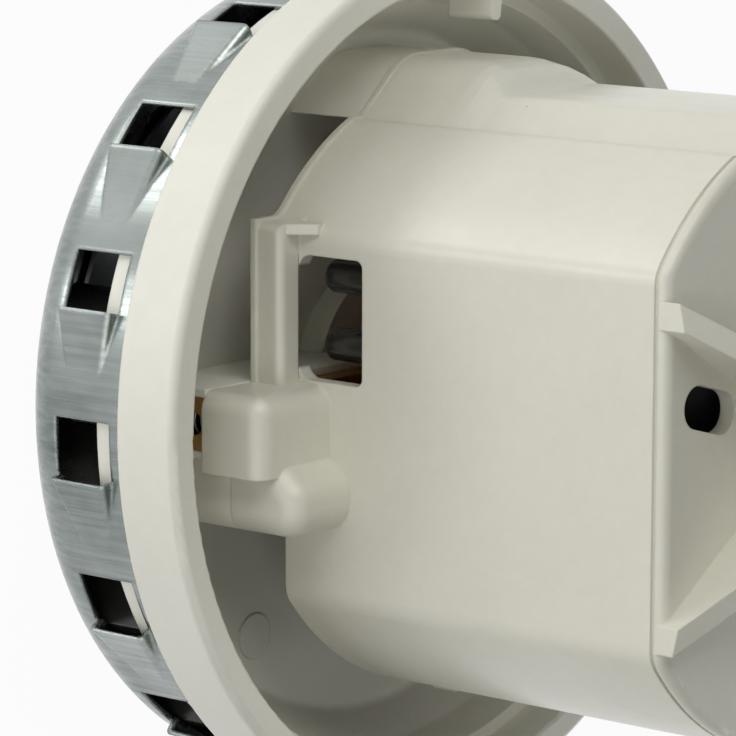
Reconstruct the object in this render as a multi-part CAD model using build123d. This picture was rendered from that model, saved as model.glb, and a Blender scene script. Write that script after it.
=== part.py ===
from build123d import *
import math
import os

# Vacuum motor unit, in millimetres.
# The origin is the centre of the fan cover's bottom face and +Z is the motor axis, towards the hood's end.
# The front, with the vent window and one brush, is at -Y.
# Heights add up from the cover's floor to the hood's crown, and radii from the armature out to the rim.

# General
OVERRUN = 1.0
SEAT_GAP = 0.05
CAST_GAP = 0.1
MOVING_GAP = 0.3
HALF_TURN = 180.0
FULL_TURN = 360.0

# Fan cover, drawn from steel sheet
COVER_SHEET = 0.8
COVER_CORNER = 9.5
INLET_RADIUS = 17.5
INLET_COLLAR = 2.6
OUTLET_COUNT = 16
OUTLET_WIDTH = 8.86
OUTLET_HEIGHT = 10.8
OUTLET_FIRST_ANGLE = -86.6
LOUVRE_RISE = 2.1
LOUVRE_LENGTH = 11.3
LOUVRE_TAPER = 2.2
LOUVRE_ROUND = 1.0

# Flange housing, one moulding with rim, dish, bearing cup and brush cradles
RIM_WIDTH = 4.8
RIM_OVERHANG = 3.5
RIM_BAND = 10.7
RIM_EDGE_ROUND = 1.2
RIM_INNER_ROUND = 0.5
LEDGE_DEPTH = 6.9
LEDGE_WIDTH = 2.1
LEDGE_WALL_DRAFT = 0.5
COVE_DEPTH = 13.4
COVE_WIDTH = 4.6
COVE_WALL_DRAFT = 1.4
COVE_ROUND = 2.1
FLOOR_DEPTH = 20.0
FLOOR_THICKNESS = 2.4
FLOOR_MARGIN = 1.5
FLOOR_EDGE_MARGIN = 1.0
SKIRT_HEIGHT = 8.2
SKIRT_WALL = 2.0
UNDER_SHOULDER_DEPTH = 13.8
CUP_WALL = 6.0
CUP_LIP = 1.0
CUP_LIP_COVER = 2.5
CUP_BOSS = 1.0
RIM_RIB_WIDTH = 2.6
RIM_RIB_LENGTH = 6.8
RIM_RIB_HEIGHT = 1.4
RIM_RIB_ANGLE = 171.5
PIN_MARK_RADIUS = 3.6
PIN_MARK_HEIGHT = 0.25
PIN_MARK_MARGIN = 7.1
PIN_MARK_ANGLE = -35.2

# Diffuser
DIFFUSER_PLATE = 2.6
DIFFUSER_HOLE_MARGIN = 1.5
DIFFUSER_EDGE_GAP = 0.2
DIFFUSER_VANE = 1.4
DIFFUSER_VANE_LEAN = 35.0
DIFFUSER_VANE_LENGTH = 16.0

# Ball bearings
BEARING_RADIUS = 11.0
BEARING_WIDTH = 7.0
BEARING_BORE = 4.0
SMALL_BEARING_RADIUS = 9.5
SMALL_BEARING_WIDTH = 6.0
SMALL_BEARING_BORE = 3.5
RACE_WALL = 2.0
SHIELD_SHEET = 0.4
BALL_COUNT = 7

# Bearing retainer and its screws
RETAINER_SHEET = 1.0
RETAINER_SCREW_MARGIN = 3.3
RETAINER_SCREW_COUNT = 3
RETAINER_SCREW_RADIUS = 1.25
RETAINER_SCREW_LENGTH = 5.5
RETAINER_HEAD_RADIUS = 2.3
RETAINER_HEAD_HEIGHT = 1.0

# Suction fan
FAN_FLOOR_GAP = 0.8
FAN_RIM_GAP = 2.4
FAN_SHEET = 0.8
FAN_BACK_SHEET = 1.0
FAN_EYE_MARGIN = 2.2
FAN_VANE_HEIGHT = 6.2
FAN_VANE_COUNT = 8
FAN_VANE_SHEET = 0.8
FAN_VANE_SETBACK = 0.8
FAN_VANE_SWEEP = 38.0
FAN_SPACER = 3.0
FAN_SPACER_WALL = 2.0
FAN_WASHER_WALL = 6.0
FAN_WASHER_SHEET = 1.2
FAN_NUT_ACROSS_FLATS = 13.0
FAN_NUT_HEIGHT = 4.5
SHAFT_TIP = 0.9

# Shaft, commutator and armature
SHAFT_RADIUS = 4.0
COMMUTATOR_RADIUS = 11.5
COMMUTATOR_BAR_DEPTH = 2.9
COMMUTATOR_LENGTH = 12.0
COMMUTATOR_CLEARANCE = 0.8
COMMUTATOR_BARS = 24
COMMUTATOR_SLIT = 0.5
COMMUTATOR_SLIT_DEPTH = 1.2
RISER_LENGTH = 1.4
RISER_STEP = 1.1
ARMATURE_RADIUS = 19.0
ARMATURE_SLOTS = 12
ARMATURE_SLOT_WIDTH = 3.0
ARMATURE_SLOT_INNER = 8.5
ARMATURE_SLOT_LIP = 1.6
ARMATURE_SLOT_MOUTH = 1.4
WINDING_EDGE_MARGIN = 2.0
WINDING_SHAFT_GAP = 1.2
WINDING_LOWER = 9.5
WINDING_UPPER = 7.0
WINDING_ROUND = 2.5
WINDING_CLEARANCE = 3.5
END_DISC = 0.6
SHAFT_LINER = 0.8

# Stator
STACK_LENGTH = 35.0
AIR_GAP = 0.6
POLE_TIP = 1.9
COIL_DEPTH = 6.2
COIL_GAP = 0.35
COIL_OUTER_ANGLE = 81.0
COIL_INNER_ANGLE = 58.0
SLOT_MARGIN_ANGLE = 2.0
SLOT_MOUTH_ANGLE = 74.0
COIL_OVERHANG = 7.5
COIL_ROUND = 1.4
YOKE_WALL = 6.6
FRAME_PLATE = 1.2
FRAME_MARGIN = 0.5
PEG_RADIUS = 2.5
PEG_LENGTH = 10.1
PEG_SPACING = 10.15
PEG_ROUND = 1.0
PEG_INSET = 6.4
PEG_OFFSET = 15.4
STATOR_SCREW_SIDE_INSET = 8.6
STATOR_SCREW_FRONT_INSET = 17.6
STATOR_SCREW_RADIUS = 2.0
STATOR_HEAD_RADIUS = 3.6
STATOR_HEAD_HEIGHT = 2.4
STATOR_SCREW_GRIP = 9.0
STATOR_BOSS_RADIUS = 4.6

# Terminals, flat push-on tabs behind the rear window
TAB_WIDTH = 6.3
TAB_SHEET = 0.8
TAB_LENGTH = 15.0
TAB_SEAT = 4.4
TAB_SPACING = 9.0
TAB_OFFSET = 16.6
TAB_BLOCK_WIDTH = 18.0
TAB_BLOCK_DEPTH = 5.4
TAB_BLOCK_HEIGHT = 9.6
TAB_HOLE_RADIUS = 0.9
TAB_HOLE_INSET = 3.2

# Brush gear
BRUSH_WIDTH = 6.4
BRUSH_HEIGHT = 10.0
BRUSH_LENGTH = 22.0
BRUSH_GAP = 0.08
TUBE_WALL = 0.72
TUBE_CLEARANCE = 3.0
TUBE_INSET = 0.9
SPRING_RADIUS = 2.7
SPRING_BORE = 2.0
CAP_SHEET = 0.8
CAP_HOLE_RADIUS = 1.7
CRADLE_WALL = 1.2

# Motor hood
HOOD_BULGE = 8.8
HOOD_SIDE_BULGE = 4.5
HOOD_WALL = 2.5
HOOD_BLEND = 5.0
HOOD_SKIRT_DEPTH = 7.0
HOOD_LIP = 1.0
HOOD_LIP_STEP = 0.5
HOOD_SEAM_CLEARANCE = 1.6
HOOD_SEAM_WIDTH = 0.6
HOOD_SEAM_DEPTH = 0.35
HOOD_CROWN = 2.2
HOOD_CROWN_ROUND = 1.6
HOOD_SEAT_STEP = 0.9
HUB_WALL = 2.6
HUB_TOP = 2.5
HUB_ROUND = 1.5
RIB_WIDTH = 3.5
RIB_ANGLES = (59.9, 122.6, 239.9, 302.6)
RIB_START = 2.8
RIB_SLOPE = 0.465
VENT_WIDTH = 6.2
VENT_EDGE_MARGIN = 3.3
VENT_LENGTH = 12.3
VENT_ANGLES = (-105.0, -30.0, 0.0, 30.0)
LUG_LENGTH = 6.0
LUG_REACH = 2.0
LUG_HEIGHT = 5.0
LUG_ROUND = 1.4

# Hood, window shelf and window
SHELF_REACH = 4.1
SHELF_FAR_SIDE = 28.9
SHELF_NEAR_SIDE = 4.0
SHELF_DEPTH = 1.6
SHELF_ROUND = 1.3
SHELF_WALL = 1.6
SHELF_BLEND = 3.5
GUSSET_HEIGHT = 3.8
WINDOW_FAR_SIDE = 24.2
WINDOW_WIDTH = 18.6
WINDOW_HEIGHT = 12.2
WINDOW_LOW_ROUND = 2.3
WINDOW_HIGH_ROUND = 1.2

# Hood, brush cover and screw boss
BRUSH_COVER_FAR_SIDE = 5.1
BRUSH_COVER_NEAR_SIDE = 7.0
BRUSH_COVER_REACH = 15.4
BRUSH_COVER_TOP_ABOVE_RIM = 4.4
BRUSH_COVER_ROUND = 2.8
BOSS_START = 5.2
BOSS_WIDTH = 10.8
BOSS_SETBACK = 3.2
BOSS_TOP_ABOVE_RIM = 8.3
BOSS_SLOPE = 3.8
BOSS_SLOPE_ROUND = 3.6
BOSS_CORNER_ROUND = 4.2
BOSS_FRONT_ROUND = 3.4
BOSS_SEAM_DEPTH = 4.2

# Hood, side land and the bump that rises from it
LAND_REACH = 5.0
LAND_SHOULDER_REACH = 4.6
LAND_SHOULDER = 11.5
LAND_ROUND = 3.0
BUMP_REACH = 8.6
BUMP_NOSE_STEP = 1.3
BUMP_SHOULDER = 9.4
BUMP_FRONT = 6.0
BUMP_FOOT = 18.4
BUMP_ROOF_ABOVE_RIM = 7.6
BUMP_ROOF_HEIGHT = 8.6
BUMP_ROUND = 8.0
BUMP_ROOF_SWELL = 0.9
BUMP_ROOF_STEPS = 4

# Hood screws
HOOD_SCREW_RADIUS = 1.75
HOOD_SCREW_HOLE = 1.9
HOOD_SCREW_GRIP = 8.0
HOOD_HEAD_RADIUS = 3.0
HOOD_HEAD_HEIGHT = 2.4
HOOD_HEAD_HOLE = 3.3
HOOD_HEAD_COVER = 0.3

# Upper bearing seat
BOOT_WALL = 1.5
WAVE_WASHER = 1.1
WAVE_WASHER_WALL = 3.0

# Cooling fan
COOLER_EDGE_GAP = 2.2
COOLER_HUB_WALL = 4.0
COOLER_DISC = 1.2
COOLER_DISC_MARGIN = 5.0
COOLER_HEIGHT = 6.6
COOLER_BLADE = 1.0
COOLER_BLADE_SETBACK = 4.0
COOLER_BLADES = 12
COOLER_CLEARANCE = 1.3

# Heights along the axis, from the bottom of the fan cover
fan_front_bottom = COVER_SHEET + FAN_FLOOR_GAP
fan_front_top = fan_front_bottom + FAN_SHEET
fan_back_bottom = fan_front_top + FAN_VANE_HEIGHT
fan_back_top = fan_back_bottom + FAN_BACK_SHEET
fan_washer_bottom = fan_back_bottom - FAN_WASHER_SHEET
fan_nut_bottom = fan_washer_bottom - FAN_NUT_HEIGHT
shaft_bottom = fan_nut_bottom - SHAFT_TIP
cup_bottom = fan_back_top + FAN_SPACER
retainer_bottom = cup_bottom - RETAINER_SHEET
floor_bottom = cup_bottom + CUP_BOSS
floor_top = floor_bottom + FLOOR_THICKNESS
rim_top = floor_top + FLOOR_DEPTH
cover_height = rim_top - RIM_BAND
bearing_top = cup_bottom + BEARING_WIDTH
cup_top = bearing_top + CUP_LIP
commutator_bottom = cup_top + COMMUTATOR_CLEARANCE
commutator_top = commutator_bottom + COMMUTATOR_LENGTH
brush_level = commutator_bottom + (COMMUTATOR_LENGTH - RISER_LENGTH) / 2
stack_bottom = commutator_top + WINDING_CLEARANCE + WINDING_LOWER + END_DISC
stack_top = stack_bottom + STACK_LENGTH
winding_top = stack_top + END_DISC + WINDING_UPPER
cooler_bottom = winding_top + COOLER_CLEARANCE
cooler_top = cooler_bottom + COOLER_HEIGHT
hood_bottom = rim_top - HOOD_SKIRT_DEPTH
hood_seam = cooler_top + HOOD_SEAM_CLEARANCE
hood_crown = hood_seam + HOOD_CROWN
hood_ceiling = hood_crown - HOOD_WALL
shelf_top = rim_top - SHELF_DEPTH
boss_bottom = rim_top - BOSS_SEAM_DEPTH

# Radii and reaches, from the axis outwards
cup_radius = BEARING_RADIUS + CUP_WALL
cup_lip_radius = BEARING_RADIUS - CUP_LIP_COVER
commutator_hub_radius = COMMUTATOR_RADIUS - COMMUTATOR_BAR_DEPTH
riser_radius = COMMUTATOR_RADIUS + RISER_STEP
liner_radius = SHAFT_RADIUS + SHAFT_LINER
slot_outer = ARMATURE_RADIUS - ARMATURE_SLOT_LIP
winding_radius = ARMATURE_RADIUS - WINDING_EDGE_MARGIN
winding_inner_radius = SHAFT_RADIUS + WINDING_SHAFT_GAP
stator_bore = ARMATURE_RADIUS + AIR_GAP
coil_inner_radius = stator_bore + POLE_TIP + COIL_GAP
coil_outer_radius = coil_inner_radius + COIL_DEPTH
hood_flat = coil_outer_radius + COIL_GAP + YOKE_WALL + CAST_GAP + HOOD_WALL
hood_side_flat = hood_flat + HOOD_SIDE_BULGE
hood_radius = hood_flat + HOOD_BULGE
shelf_front = hood_flat + SHELF_REACH
brush_cover_front = hood_flat + BRUSH_COVER_REACH
boss_front = brush_cover_front - BOSS_SETBACK
boss_end = BOSS_START + BOSS_WIDTH
land_reach = hood_side_flat + LAND_REACH
land_shoulder_reach = hood_side_flat + LAND_SHOULDER_REACH
bump_reach = hood_side_flat + BUMP_REACH
bump_shoulder_reach = bump_reach - BUMP_NOSE_STEP
tube_start = COMMUTATOR_RADIUS + TUBE_CLEARANCE
tube_end = brush_cover_front - TUBE_INSET
floor_radius = tube_end + FLOOR_MARGIN
floor_edge_radius = floor_radius + FLOOR_EDGE_MARGIN
cove_radius = floor_radius + COVE_WIDTH
ledge_inner_radius = cove_radius + COVE_WALL_DRAFT
ledge_outer_radius = ledge_inner_radius + LEDGE_WIDTH
rim_inner_radius = ledge_outer_radius + LEDGE_WALL_DRAFT
rim_radius = rim_inner_radius + RIM_WIDTH
cover_radius = rim_radius - RIM_OVERHANG
cover_inner_radius = cover_radius - COVER_SHEET
skirt_radius = cover_inner_radius - CAST_GAP
skirt_inner_radius = skirt_radius - SKIRT_WALL
diffuser_radius = floor_edge_radius - DIFFUSER_EDGE_GAP
fan_radius = diffuser_radius - FAN_RIM_GAP
fan_eye_radius = INLET_RADIUS + FAN_EYE_MARGIN
boot_radius = SMALL_BEARING_RADIUS + BOOT_WALL
hub_radius = boot_radius + HUB_WALL
vent_outer_radius = hood_flat - VENT_EDGE_MARGIN
vent_inner_radius = vent_outer_radius - VENT_LENGTH
cooler_radius = hood_flat - HOOD_WALL - HOOD_SEAT_STEP - COOLER_EDGE_GAP
cooler_hub_radius = SHAFT_RADIUS + COOLER_HUB_WALL

# Hub height, where the ribs reach it
rib_corner = hood_crown + RIB_START
rib_reach = hood_flat / math.sin(math.radians(RIB_ANGLES[0]))
hub_top = rib_corner + RIB_SLOPE * (rib_reach - hub_radius)
small_bearing_top = hub_top - HUB_TOP - WAVE_WASHER
small_bearing_bottom = small_bearing_top - SMALL_BEARING_WIDTH

# Sizes that several pieces share
tube_width = BRUSH_WIDTH + 2 * (BRUSH_GAP + TUBE_WALL)
tube_height = BRUSH_HEIGHT + 2 * (BRUSH_GAP + TUBE_WALL)
tube_bottom = brush_level - tube_height / 2
tube_top = brush_level + tube_height / 2
brush_start = COMMUTATOR_RADIUS + BRUSH_GAP
brush_end = brush_start + BRUSH_LENGTH
peg_y = -(hood_flat - PEG_INSET)
side_foot = BUMP_FOOT + HOOD_WALL
boss_screw_x = (BOSS_START + boss_end) / 2 + CRADLE_WALL
boss_screw_y = -(boss_front + hood_flat) / 2
bump_screw_x = -(bump_reach + hood_side_flat - HOOD_WALL) / 2
stator_screw_x = hood_side_flat - STATOR_SCREW_SIDE_INSET
stator_screw_y = hood_flat - STATOR_SCREW_FRONT_INSET
terminal_back = hood_flat - HOOD_WALL - HOOD_SEAT_STEP - FRAME_MARGIN


def disc(radius, bottom, top):
    """A round plate about the motor axis."""
    base = (Align.CENTER, Align.CENTER, Align.MIN)
    return Pos(0, 0, bottom) * Cylinder(radius, top - bottom, align=base)


def ring(outer, inner, bottom, top):
    """A round plate with a hole through its middle."""
    return disc(outer, bottom, top) - disc(inner, bottom - OVERRUN, top + OVERRUN)


def block(x_low, x_high, y_low, y_high, bottom, top):
    """A box between two corners."""
    corner = (Align.MIN, Align.MIN, Align.MIN)
    return Pos(x_low, y_low, bottom) * Box(x_high - x_low, y_high - y_low, top - bottom, align=corner)


def post(x, y, radius, bottom, top):
    """A round post that stands away from the axis."""
    return Pos(x, y, 0) * disc(radius, bottom, top)


def turned(points, arc=FULL_TURN):
    """A solid of revolution about the motor axis from points of radius and height."""
    return revolve(Plane.XZ * Polygon(*points, align=None), Axis.Z, revolution_arc=arc)


def sector(inner, outer, start, end, bottom, top):
    """A piece of a ring between two angles in degrees."""
    profile = ((inner, bottom), (outer, bottom), (outer, top), (inner, top))
    return Rot(0, 0, start) * turned(profile, end - start)


def soften(body, radius, *points):
    """Rounds the edges whose centres lie nearest to the points."""
    edges = [body.edges().sort_by_distance(point)[0] for point in points]
    return fillet(edges, radius)


def around(count, body):
    """The same body repeated evenly about the motor axis."""
    return [Rot(0, 0, FULL_TURN * index / count) * body for index in range(count)]


def both_ends(body):
    """The body and its twin half a turn round the motor axis."""
    return body + Rot(0, 0, HALF_TURN) * body


def cup(radius, corner, bottom, top):
    """A round block whose lower edge is rounded."""
    body = disc(radius, bottom, top)
    return fillet(body.edges().group_by(Axis.Z)[0], corner)


def make_fan_cover():
    """Steel cover with an inlet collar and a louvre beside each outlet window."""
    inside = cup(cover_inner_radius, COVER_CORNER - COVER_SHEET, COVER_SHEET, cover_height + OVERRUN)
    shell = cup(cover_radius, COVER_CORNER, 0, cover_height) - inside
    shell = shell + disc(INLET_RADIUS + COVER_SHEET, 0, INLET_COLLAR)
    shell = shell - disc(INLET_RADIUS, -OVERRUN, INLET_COLLAR + OVERRUN)
    shell = soften(shell, COVER_SHEET * 3 / 4, (0, INLET_RADIUS, 0))
    level = COVER_CORNER + OUTLET_HEIGHT / 2
    edge_angle = OUTLET_FIRST_ANGLE + math.degrees(math.asin(OUTLET_WIDTH / 2 / cover_radius))
    place = Rot(0, 0, edge_angle) * Pos(cover_radius, 0, level)
    scoop = place * louvre_wedge(0)
    scoop = soften(scoop, LOUVRE_ROUND, *[(place * spot).position for spot in louvre_crests()])
    scoop = scoop - disc(cover_inner_radius, 0, cover_height)
    window = Rot(0, 0, OUTLET_FIRST_ANGLE) * block(
        cover_radius - COVER_CORNER, cover_radius + COVER_CORNER,
        -OUTLET_WIDTH / 2, OUTLET_WIDTH / 2, COVER_CORNER, COVER_CORNER + OUTLET_HEIGHT)
    shell = shell.fuse(*around(OUTLET_COUNT, scoop))
    shell = shell.cut(*around(OUTLET_COUNT, place * louvre_wedge(COVER_SHEET)))
    return shell.cut(*around(OUTLET_COUNT, window))


def louvre_wedge(inset):
    """The louvre's outer form, or its hollow with the sheet's thickness as an inset."""
    low = -COVER_CORNER / 2
    drop = LOUVRE_LENGTH**2 / (2 * cover_radius)
    half = OUTLET_HEIGHT / 2 - inset
    mouth = Plane.XZ * Polygon((low, -half), (LOUVRE_RISE - inset, -half), (LOUVRE_RISE - inset, half),
                               (low, half), align=None)
    half = half - LOUVRE_TAPER
    foot = Plane.XZ.offset(-LOUVRE_LENGTH) * Polygon((low, -half), (-drop - inset, -half),
                                                     (-drop - inset, half), (low, half), align=None)
    return loft([mouth, foot], ruled=True)


def louvre_crests():
    """Middles of the two long edges along the louvre's crest."""
    x = (LOUVRE_RISE - LOUVRE_LENGTH**2 / (2 * cover_radius)) / 2
    half = (OUTLET_HEIGHT - LOUVRE_TAPER) / 2
    return [Pos(x, LOUVRE_LENGTH / 2, -half), Pos(x, LOUVRE_LENGTH / 2, half)]


def flange_profile():
    """Half section of the flange from the bearing cup out to the rim."""
    face = Polygon(
        (cup_lip_radius, cup_top), (cup_radius, cup_top), (cup_radius, floor_top),
        (floor_radius, floor_top), (cove_radius, rim_top - COVE_DEPTH),
        (ledge_inner_radius, rim_top - LEDGE_DEPTH), (ledge_outer_radius, rim_top - LEDGE_DEPTH),
        (rim_inner_radius, rim_top), (rim_radius, rim_top), (rim_radius, cover_height),
        (skirt_radius, cover_height), (skirt_radius, cover_height - SKIRT_HEIGHT),
        (skirt_inner_radius, cover_height - SKIRT_HEIGHT),
        (skirt_inner_radius, rim_top - UNDER_SHOULDER_DEPTH), (floor_edge_radius, floor_bottom),
        (cup_radius, floor_bottom), (cup_radius, cup_bottom), (BEARING_RADIUS + SEAT_GAP, cup_bottom),
        (BEARING_RADIUS + SEAT_GAP, bearing_top), (cup_lip_radius, bearing_top), align=None)
    face = fillet(face.vertices().sort_by_distance((rim_radius, rim_top))[0], RIM_EDGE_ROUND)
    face = fillet(face.vertices().sort_by_distance((rim_inner_radius, rim_top))[0], RIM_INNER_ROUND)
    cove = (cove_radius, rim_top - COVE_DEPTH)
    face = fillet(face.vertices().sort_by_distance(cove)[0], COVE_ROUND)
    foot = (floor_radius, floor_top)
    face = fillet(face.vertices().sort_by_distance(foot)[0], COVE_ROUND)
    return face


def side_outline(foot, shoulder_reach, shoulder, nose_reach, radius):
    """Plan of a form on the hood's side, from inside the wall out to its rounded nose."""
    flat = -(hood_side_flat - HOOD_WALL)
    points = ((flat, foot), (-shoulder_reach, shoulder), (-nose_reach, BUMP_FRONT),
              (-nose_reach, -BUMP_FRONT), (-shoulder_reach, -shoulder), (flat, -foot))
    face = Polygon(*points, align=None)
    for point in points[1:-1]:
        face = fillet(face.vertices().sort_by_distance(point)[0], radius)
    return face


def bump_outline(step=0.0):
    """Plan of the side bump, moved outwards by a step."""
    return side_outline(side_foot, bump_shoulder_reach + step, BUMP_SHOULDER, bump_reach + step, BUMP_ROUND)


def land_outline(inset):
    """Plan of the raised land on the hood's side, moved inwards by an inset."""
    return side_outline(side_foot - inset, land_shoulder_reach - inset, LAND_SHOULDER - inset,
                        land_reach - inset, LAND_ROUND)


def roof_outline(share):
    """Plan of the bump's roof at a share of its height, from the bump to the land."""
    rest = 1 - share
    swell = BUMP_ROOF_SWELL * math.sin(math.pi * share)
    return side_outline(
        side_foot, bump_shoulder_reach * rest + land_shoulder_reach * share + swell,
        BUMP_SHOULDER * rest + LAND_SHOULDER * share,
        bump_reach * rest + land_reach * share + swell, BUMP_ROUND * rest + LAND_ROUND * share)


def hood_screw_places():
    """Where the hood is screwed to the flange, in plan."""
    return ((boss_screw_x, boss_screw_y), (-boss_screw_x, -boss_screw_y), (bump_screw_x, 0))


def make_flange_housing():
    """Rim, dish, bearing cup, brush cradles and pillars in one moulding."""
    body = revolve(Plane.XZ * flange_profile(), Axis.Z)
    half = tube_width / 2 + SEAT_GAP
    side = half + CRADLE_WALL
    cradle_top = hood_bottom - CAST_GAP
    cradle = block(-side, side, -tube_end, -tube_start, floor_top - OVERRUN, cradle_top)
    cradle = cradle - disc(COMMUTATOR_RADIUS + RACE_WALL, floor_top, rim_top)
    gap_x = BRUSH_COVER_NEAR_SIDE + CAST_GAP
    back = hood_flat + HOOD_LIP_STEP + CAST_GAP
    pillar = block(gap_x, boss_end, -boss_front, -back, floor_top - OVERRUN, boss_bottom - CAST_GAP)
    pillar = soften(pillar, BOSS_FRONT_ROUND, (boss_end, -boss_front, floor_top))
    web = block(side - SEAT_GAP, gap_x, -boss_front, -back, floor_top - OVERRUN, cradle_top)
    body = body + both_ends(cradle + pillar + web)
    trough = block(-half, half, -tube_end - OVERRUN, 0, tube_bottom, rim_top)
    body = body - both_ends(trough)
    stand = extrude(Pos(0, 0, floor_top) * bump_outline(), hood_bottom - CAST_GAP - floor_top)
    stand = stand - block(-hood_side_flat, 0, -side_foot, side_foot, floor_top, rim_top)
    body = body + stand
    for x, y in hood_screw_places():
        body = body - post(x, y, HOOD_SCREW_HOLE, floor_bottom - OVERRUN, rim_top)
        head_room = HOOD_HEAD_COVER + HOOD_HEAD_HEIGHT
        body = body - post(x, y, HOOD_HEAD_HOLE, floor_bottom - OVERRUN, floor_bottom + head_room)
    for place in retainer_screw_places():
        hole = disc(RETAINER_SCREW_RADIUS, cup_bottom - OVERRUN, cup_bottom + RETAINER_SCREW_LENGTH)
        body = body - place * hole
    half = RIM_RIB_WIDTH / 2
    rib = block(0, RIM_RIB_LENGTH, -half, half, 0, LEDGE_DEPTH + RIM_RIB_HEIGHT)
    tip_edges = ((0, -half, LEDGE_DEPTH / 2), (0, half, LEDGE_DEPTH / 2))
    rib = soften(rib, RIM_RIB_WIDTH / 3, *tip_edges)
    rib_start = ledge_outer_radius - RIM_RIB_LENGTH + CRADLE_WALL
    rib_place = Pos(rib_start, 0, rim_top - LEDGE_DEPTH - 2 * RIM_RIB_HEIGHT)
    body = body + Rot(0, 0, RIM_RIB_ANGLE) * rib_place * rib
    mark = Rot(0, 0, PIN_MARK_ANGLE) * Pos(floor_radius - PIN_MARK_MARGIN, 0, 0)
    body = body + mark * disc(PIN_MARK_RADIUS, floor_top - OVERRUN, floor_top + PIN_MARK_HEIGHT)
    return body


def make_diffuser():
    """Plate under the flange floor with guide vanes that reach into the outlet channel."""
    hole_radius = cup_radius + DIFFUSER_HOLE_MARGIN
    plate = ring(diffuser_radius, hole_radius, floor_bottom - DIFFUSER_PLATE, floor_bottom)
    corner = COVER_CORNER - COVER_SHEET - MOVING_GAP
    space = cup(cover_inner_radius - MOVING_GAP, corner, COVER_SHEET + MOVING_GAP, cover_height)
    start = diffuser_radius - DIFFUSER_PLATE / 2
    top = cover_height - SKIRT_HEIGHT - MOVING_GAP
    inner_edge = floor_edge_radius + MOVING_GAP
    roof = turned((
        (start, COVER_SHEET), (rim_radius, COVER_SHEET), (rim_radius, top),
        (skirt_inner_radius - MOVING_GAP, top),
        (skirt_inner_radius - MOVING_GAP, rim_top - UNDER_SHOULDER_DEPTH - 4 * MOVING_GAP),
        (inner_edge, floor_bottom - MOVING_GAP), (start, floor_bottom - MOVING_GAP)))
    channel = (space & roof) - disc(fan_radius + MOVING_GAP, 0, floor_bottom - DIFFUSER_PLATE)
    vane = Pos(start, 0, 0) * Rot(0, 0, DIFFUSER_VANE_LEAN) * block(
        -DIFFUSER_VANE, DIFFUSER_VANE_LENGTH, -DIFFUSER_VANE / 2, DIFFUSER_VANE / 2, 0, rim_top)
    vanes = [blade & channel for blade in around(OUTLET_COUNT, Rot(0, 0, OUTLET_FIRST_ANGLE) * vane)]
    return plate.fuse(*vanes)


def retainer_screw_places():
    """Where the retainer's screws stand."""
    steps = range(RETAINER_SCREW_COUNT)
    turns = [FULL_TURN * step / RETAINER_SCREW_COUNT for step in steps]
    reach = BEARING_RADIUS + RETAINER_SCREW_MARGIN
    return [Rot(0, 0, turn) * Pos(reach, 0, 0) for turn in turns]


def make_bearing_outer(radius, width, bore, bottom):
    """Outer race of a ball bearing with a shield at each face."""
    groove = ball_pitch(radius, bore)
    shield_hole = bore + RACE_WALL + MOVING_GAP
    race_hole = radius - RACE_WALL
    points = (
        (shield_hole, bottom), (radius, bottom), (radius, bottom + width), (shield_hole, bottom + width),
        (shield_hole, bottom + width - SHIELD_SHEET), (race_hole, bottom + width - SHIELD_SHEET),
        (race_hole, bottom + SHIELD_SHEET), (shield_hole, bottom + SHIELD_SHEET))
    track = Pos(0, 0, bottom + width / 2) * Torus(groove, ball_size(radius, bore) + SEAT_GAP)
    return turned(points) - track


def make_bearing_inner(radius, width, bore, bottom):
    """Inner race of a ball bearing."""
    groove = ball_pitch(radius, bore)
    track = Pos(0, 0, bottom + width / 2) * Torus(groove, ball_size(radius, bore) + SEAT_GAP)
    return ring(bore + RACE_WALL, bore, bottom, bottom + width) - track


def ball_pitch(radius, bore):
    """Radius of the circle that the balls run on."""
    return (radius + bore) / 2


def ball_size(radius, bore):
    """Radius of a ball that fills the races' grooves."""
    return (radius - bore) / 2 - RACE_WALL * 3 / 4


def make_balls(radius, width, bore, bottom):
    """The balls of a bearing, spread evenly."""
    level = bottom + width / 2
    ball = Pos(ball_pitch(radius, bore), 0, level) * Sphere(ball_size(radius, bore))
    return Compound(children=around(BALL_COUNT, ball))


def make_bearing_retainer():
    """Steel plate that holds the lower bearing in its cup."""
    plate = ring(cup_radius, cup_lip_radius, retainer_bottom, cup_bottom)
    hole = disc(RETAINER_SCREW_RADIUS + CAST_GAP, retainer_bottom - OVERRUN, cup_bottom + OVERRUN)
    return plate.cut(*[place * hole for place in retainer_screw_places()])


def make_retainer_screws():
    """Low-headed screws that hold the retainer."""
    head = disc(RETAINER_HEAD_RADIUS, retainer_bottom - RETAINER_HEAD_HEIGHT, retainer_bottom)
    head = fillet(head.edges().group_by(Axis.Z)[0], RETAINER_HEAD_HEIGHT / 2)
    shank = disc(RETAINER_SCREW_RADIUS - SEAT_GAP, retainer_bottom, retainer_bottom + RETAINER_SCREW_LENGTH)
    screw = head + shank
    half_slot = RETAINER_HEAD_HEIGHT / 4
    slot_bottom = retainer_bottom - RETAINER_HEAD_HEIGHT - OVERRUN
    screw = screw - block(-RETAINER_HEAD_RADIUS, RETAINER_HEAD_RADIUS, -half_slot, half_slot,
                          slot_bottom, retainer_bottom - RETAINER_HEAD_HEIGHT / 2)
    return Compound(children=[place * screw for place in retainer_screw_places()])


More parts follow.
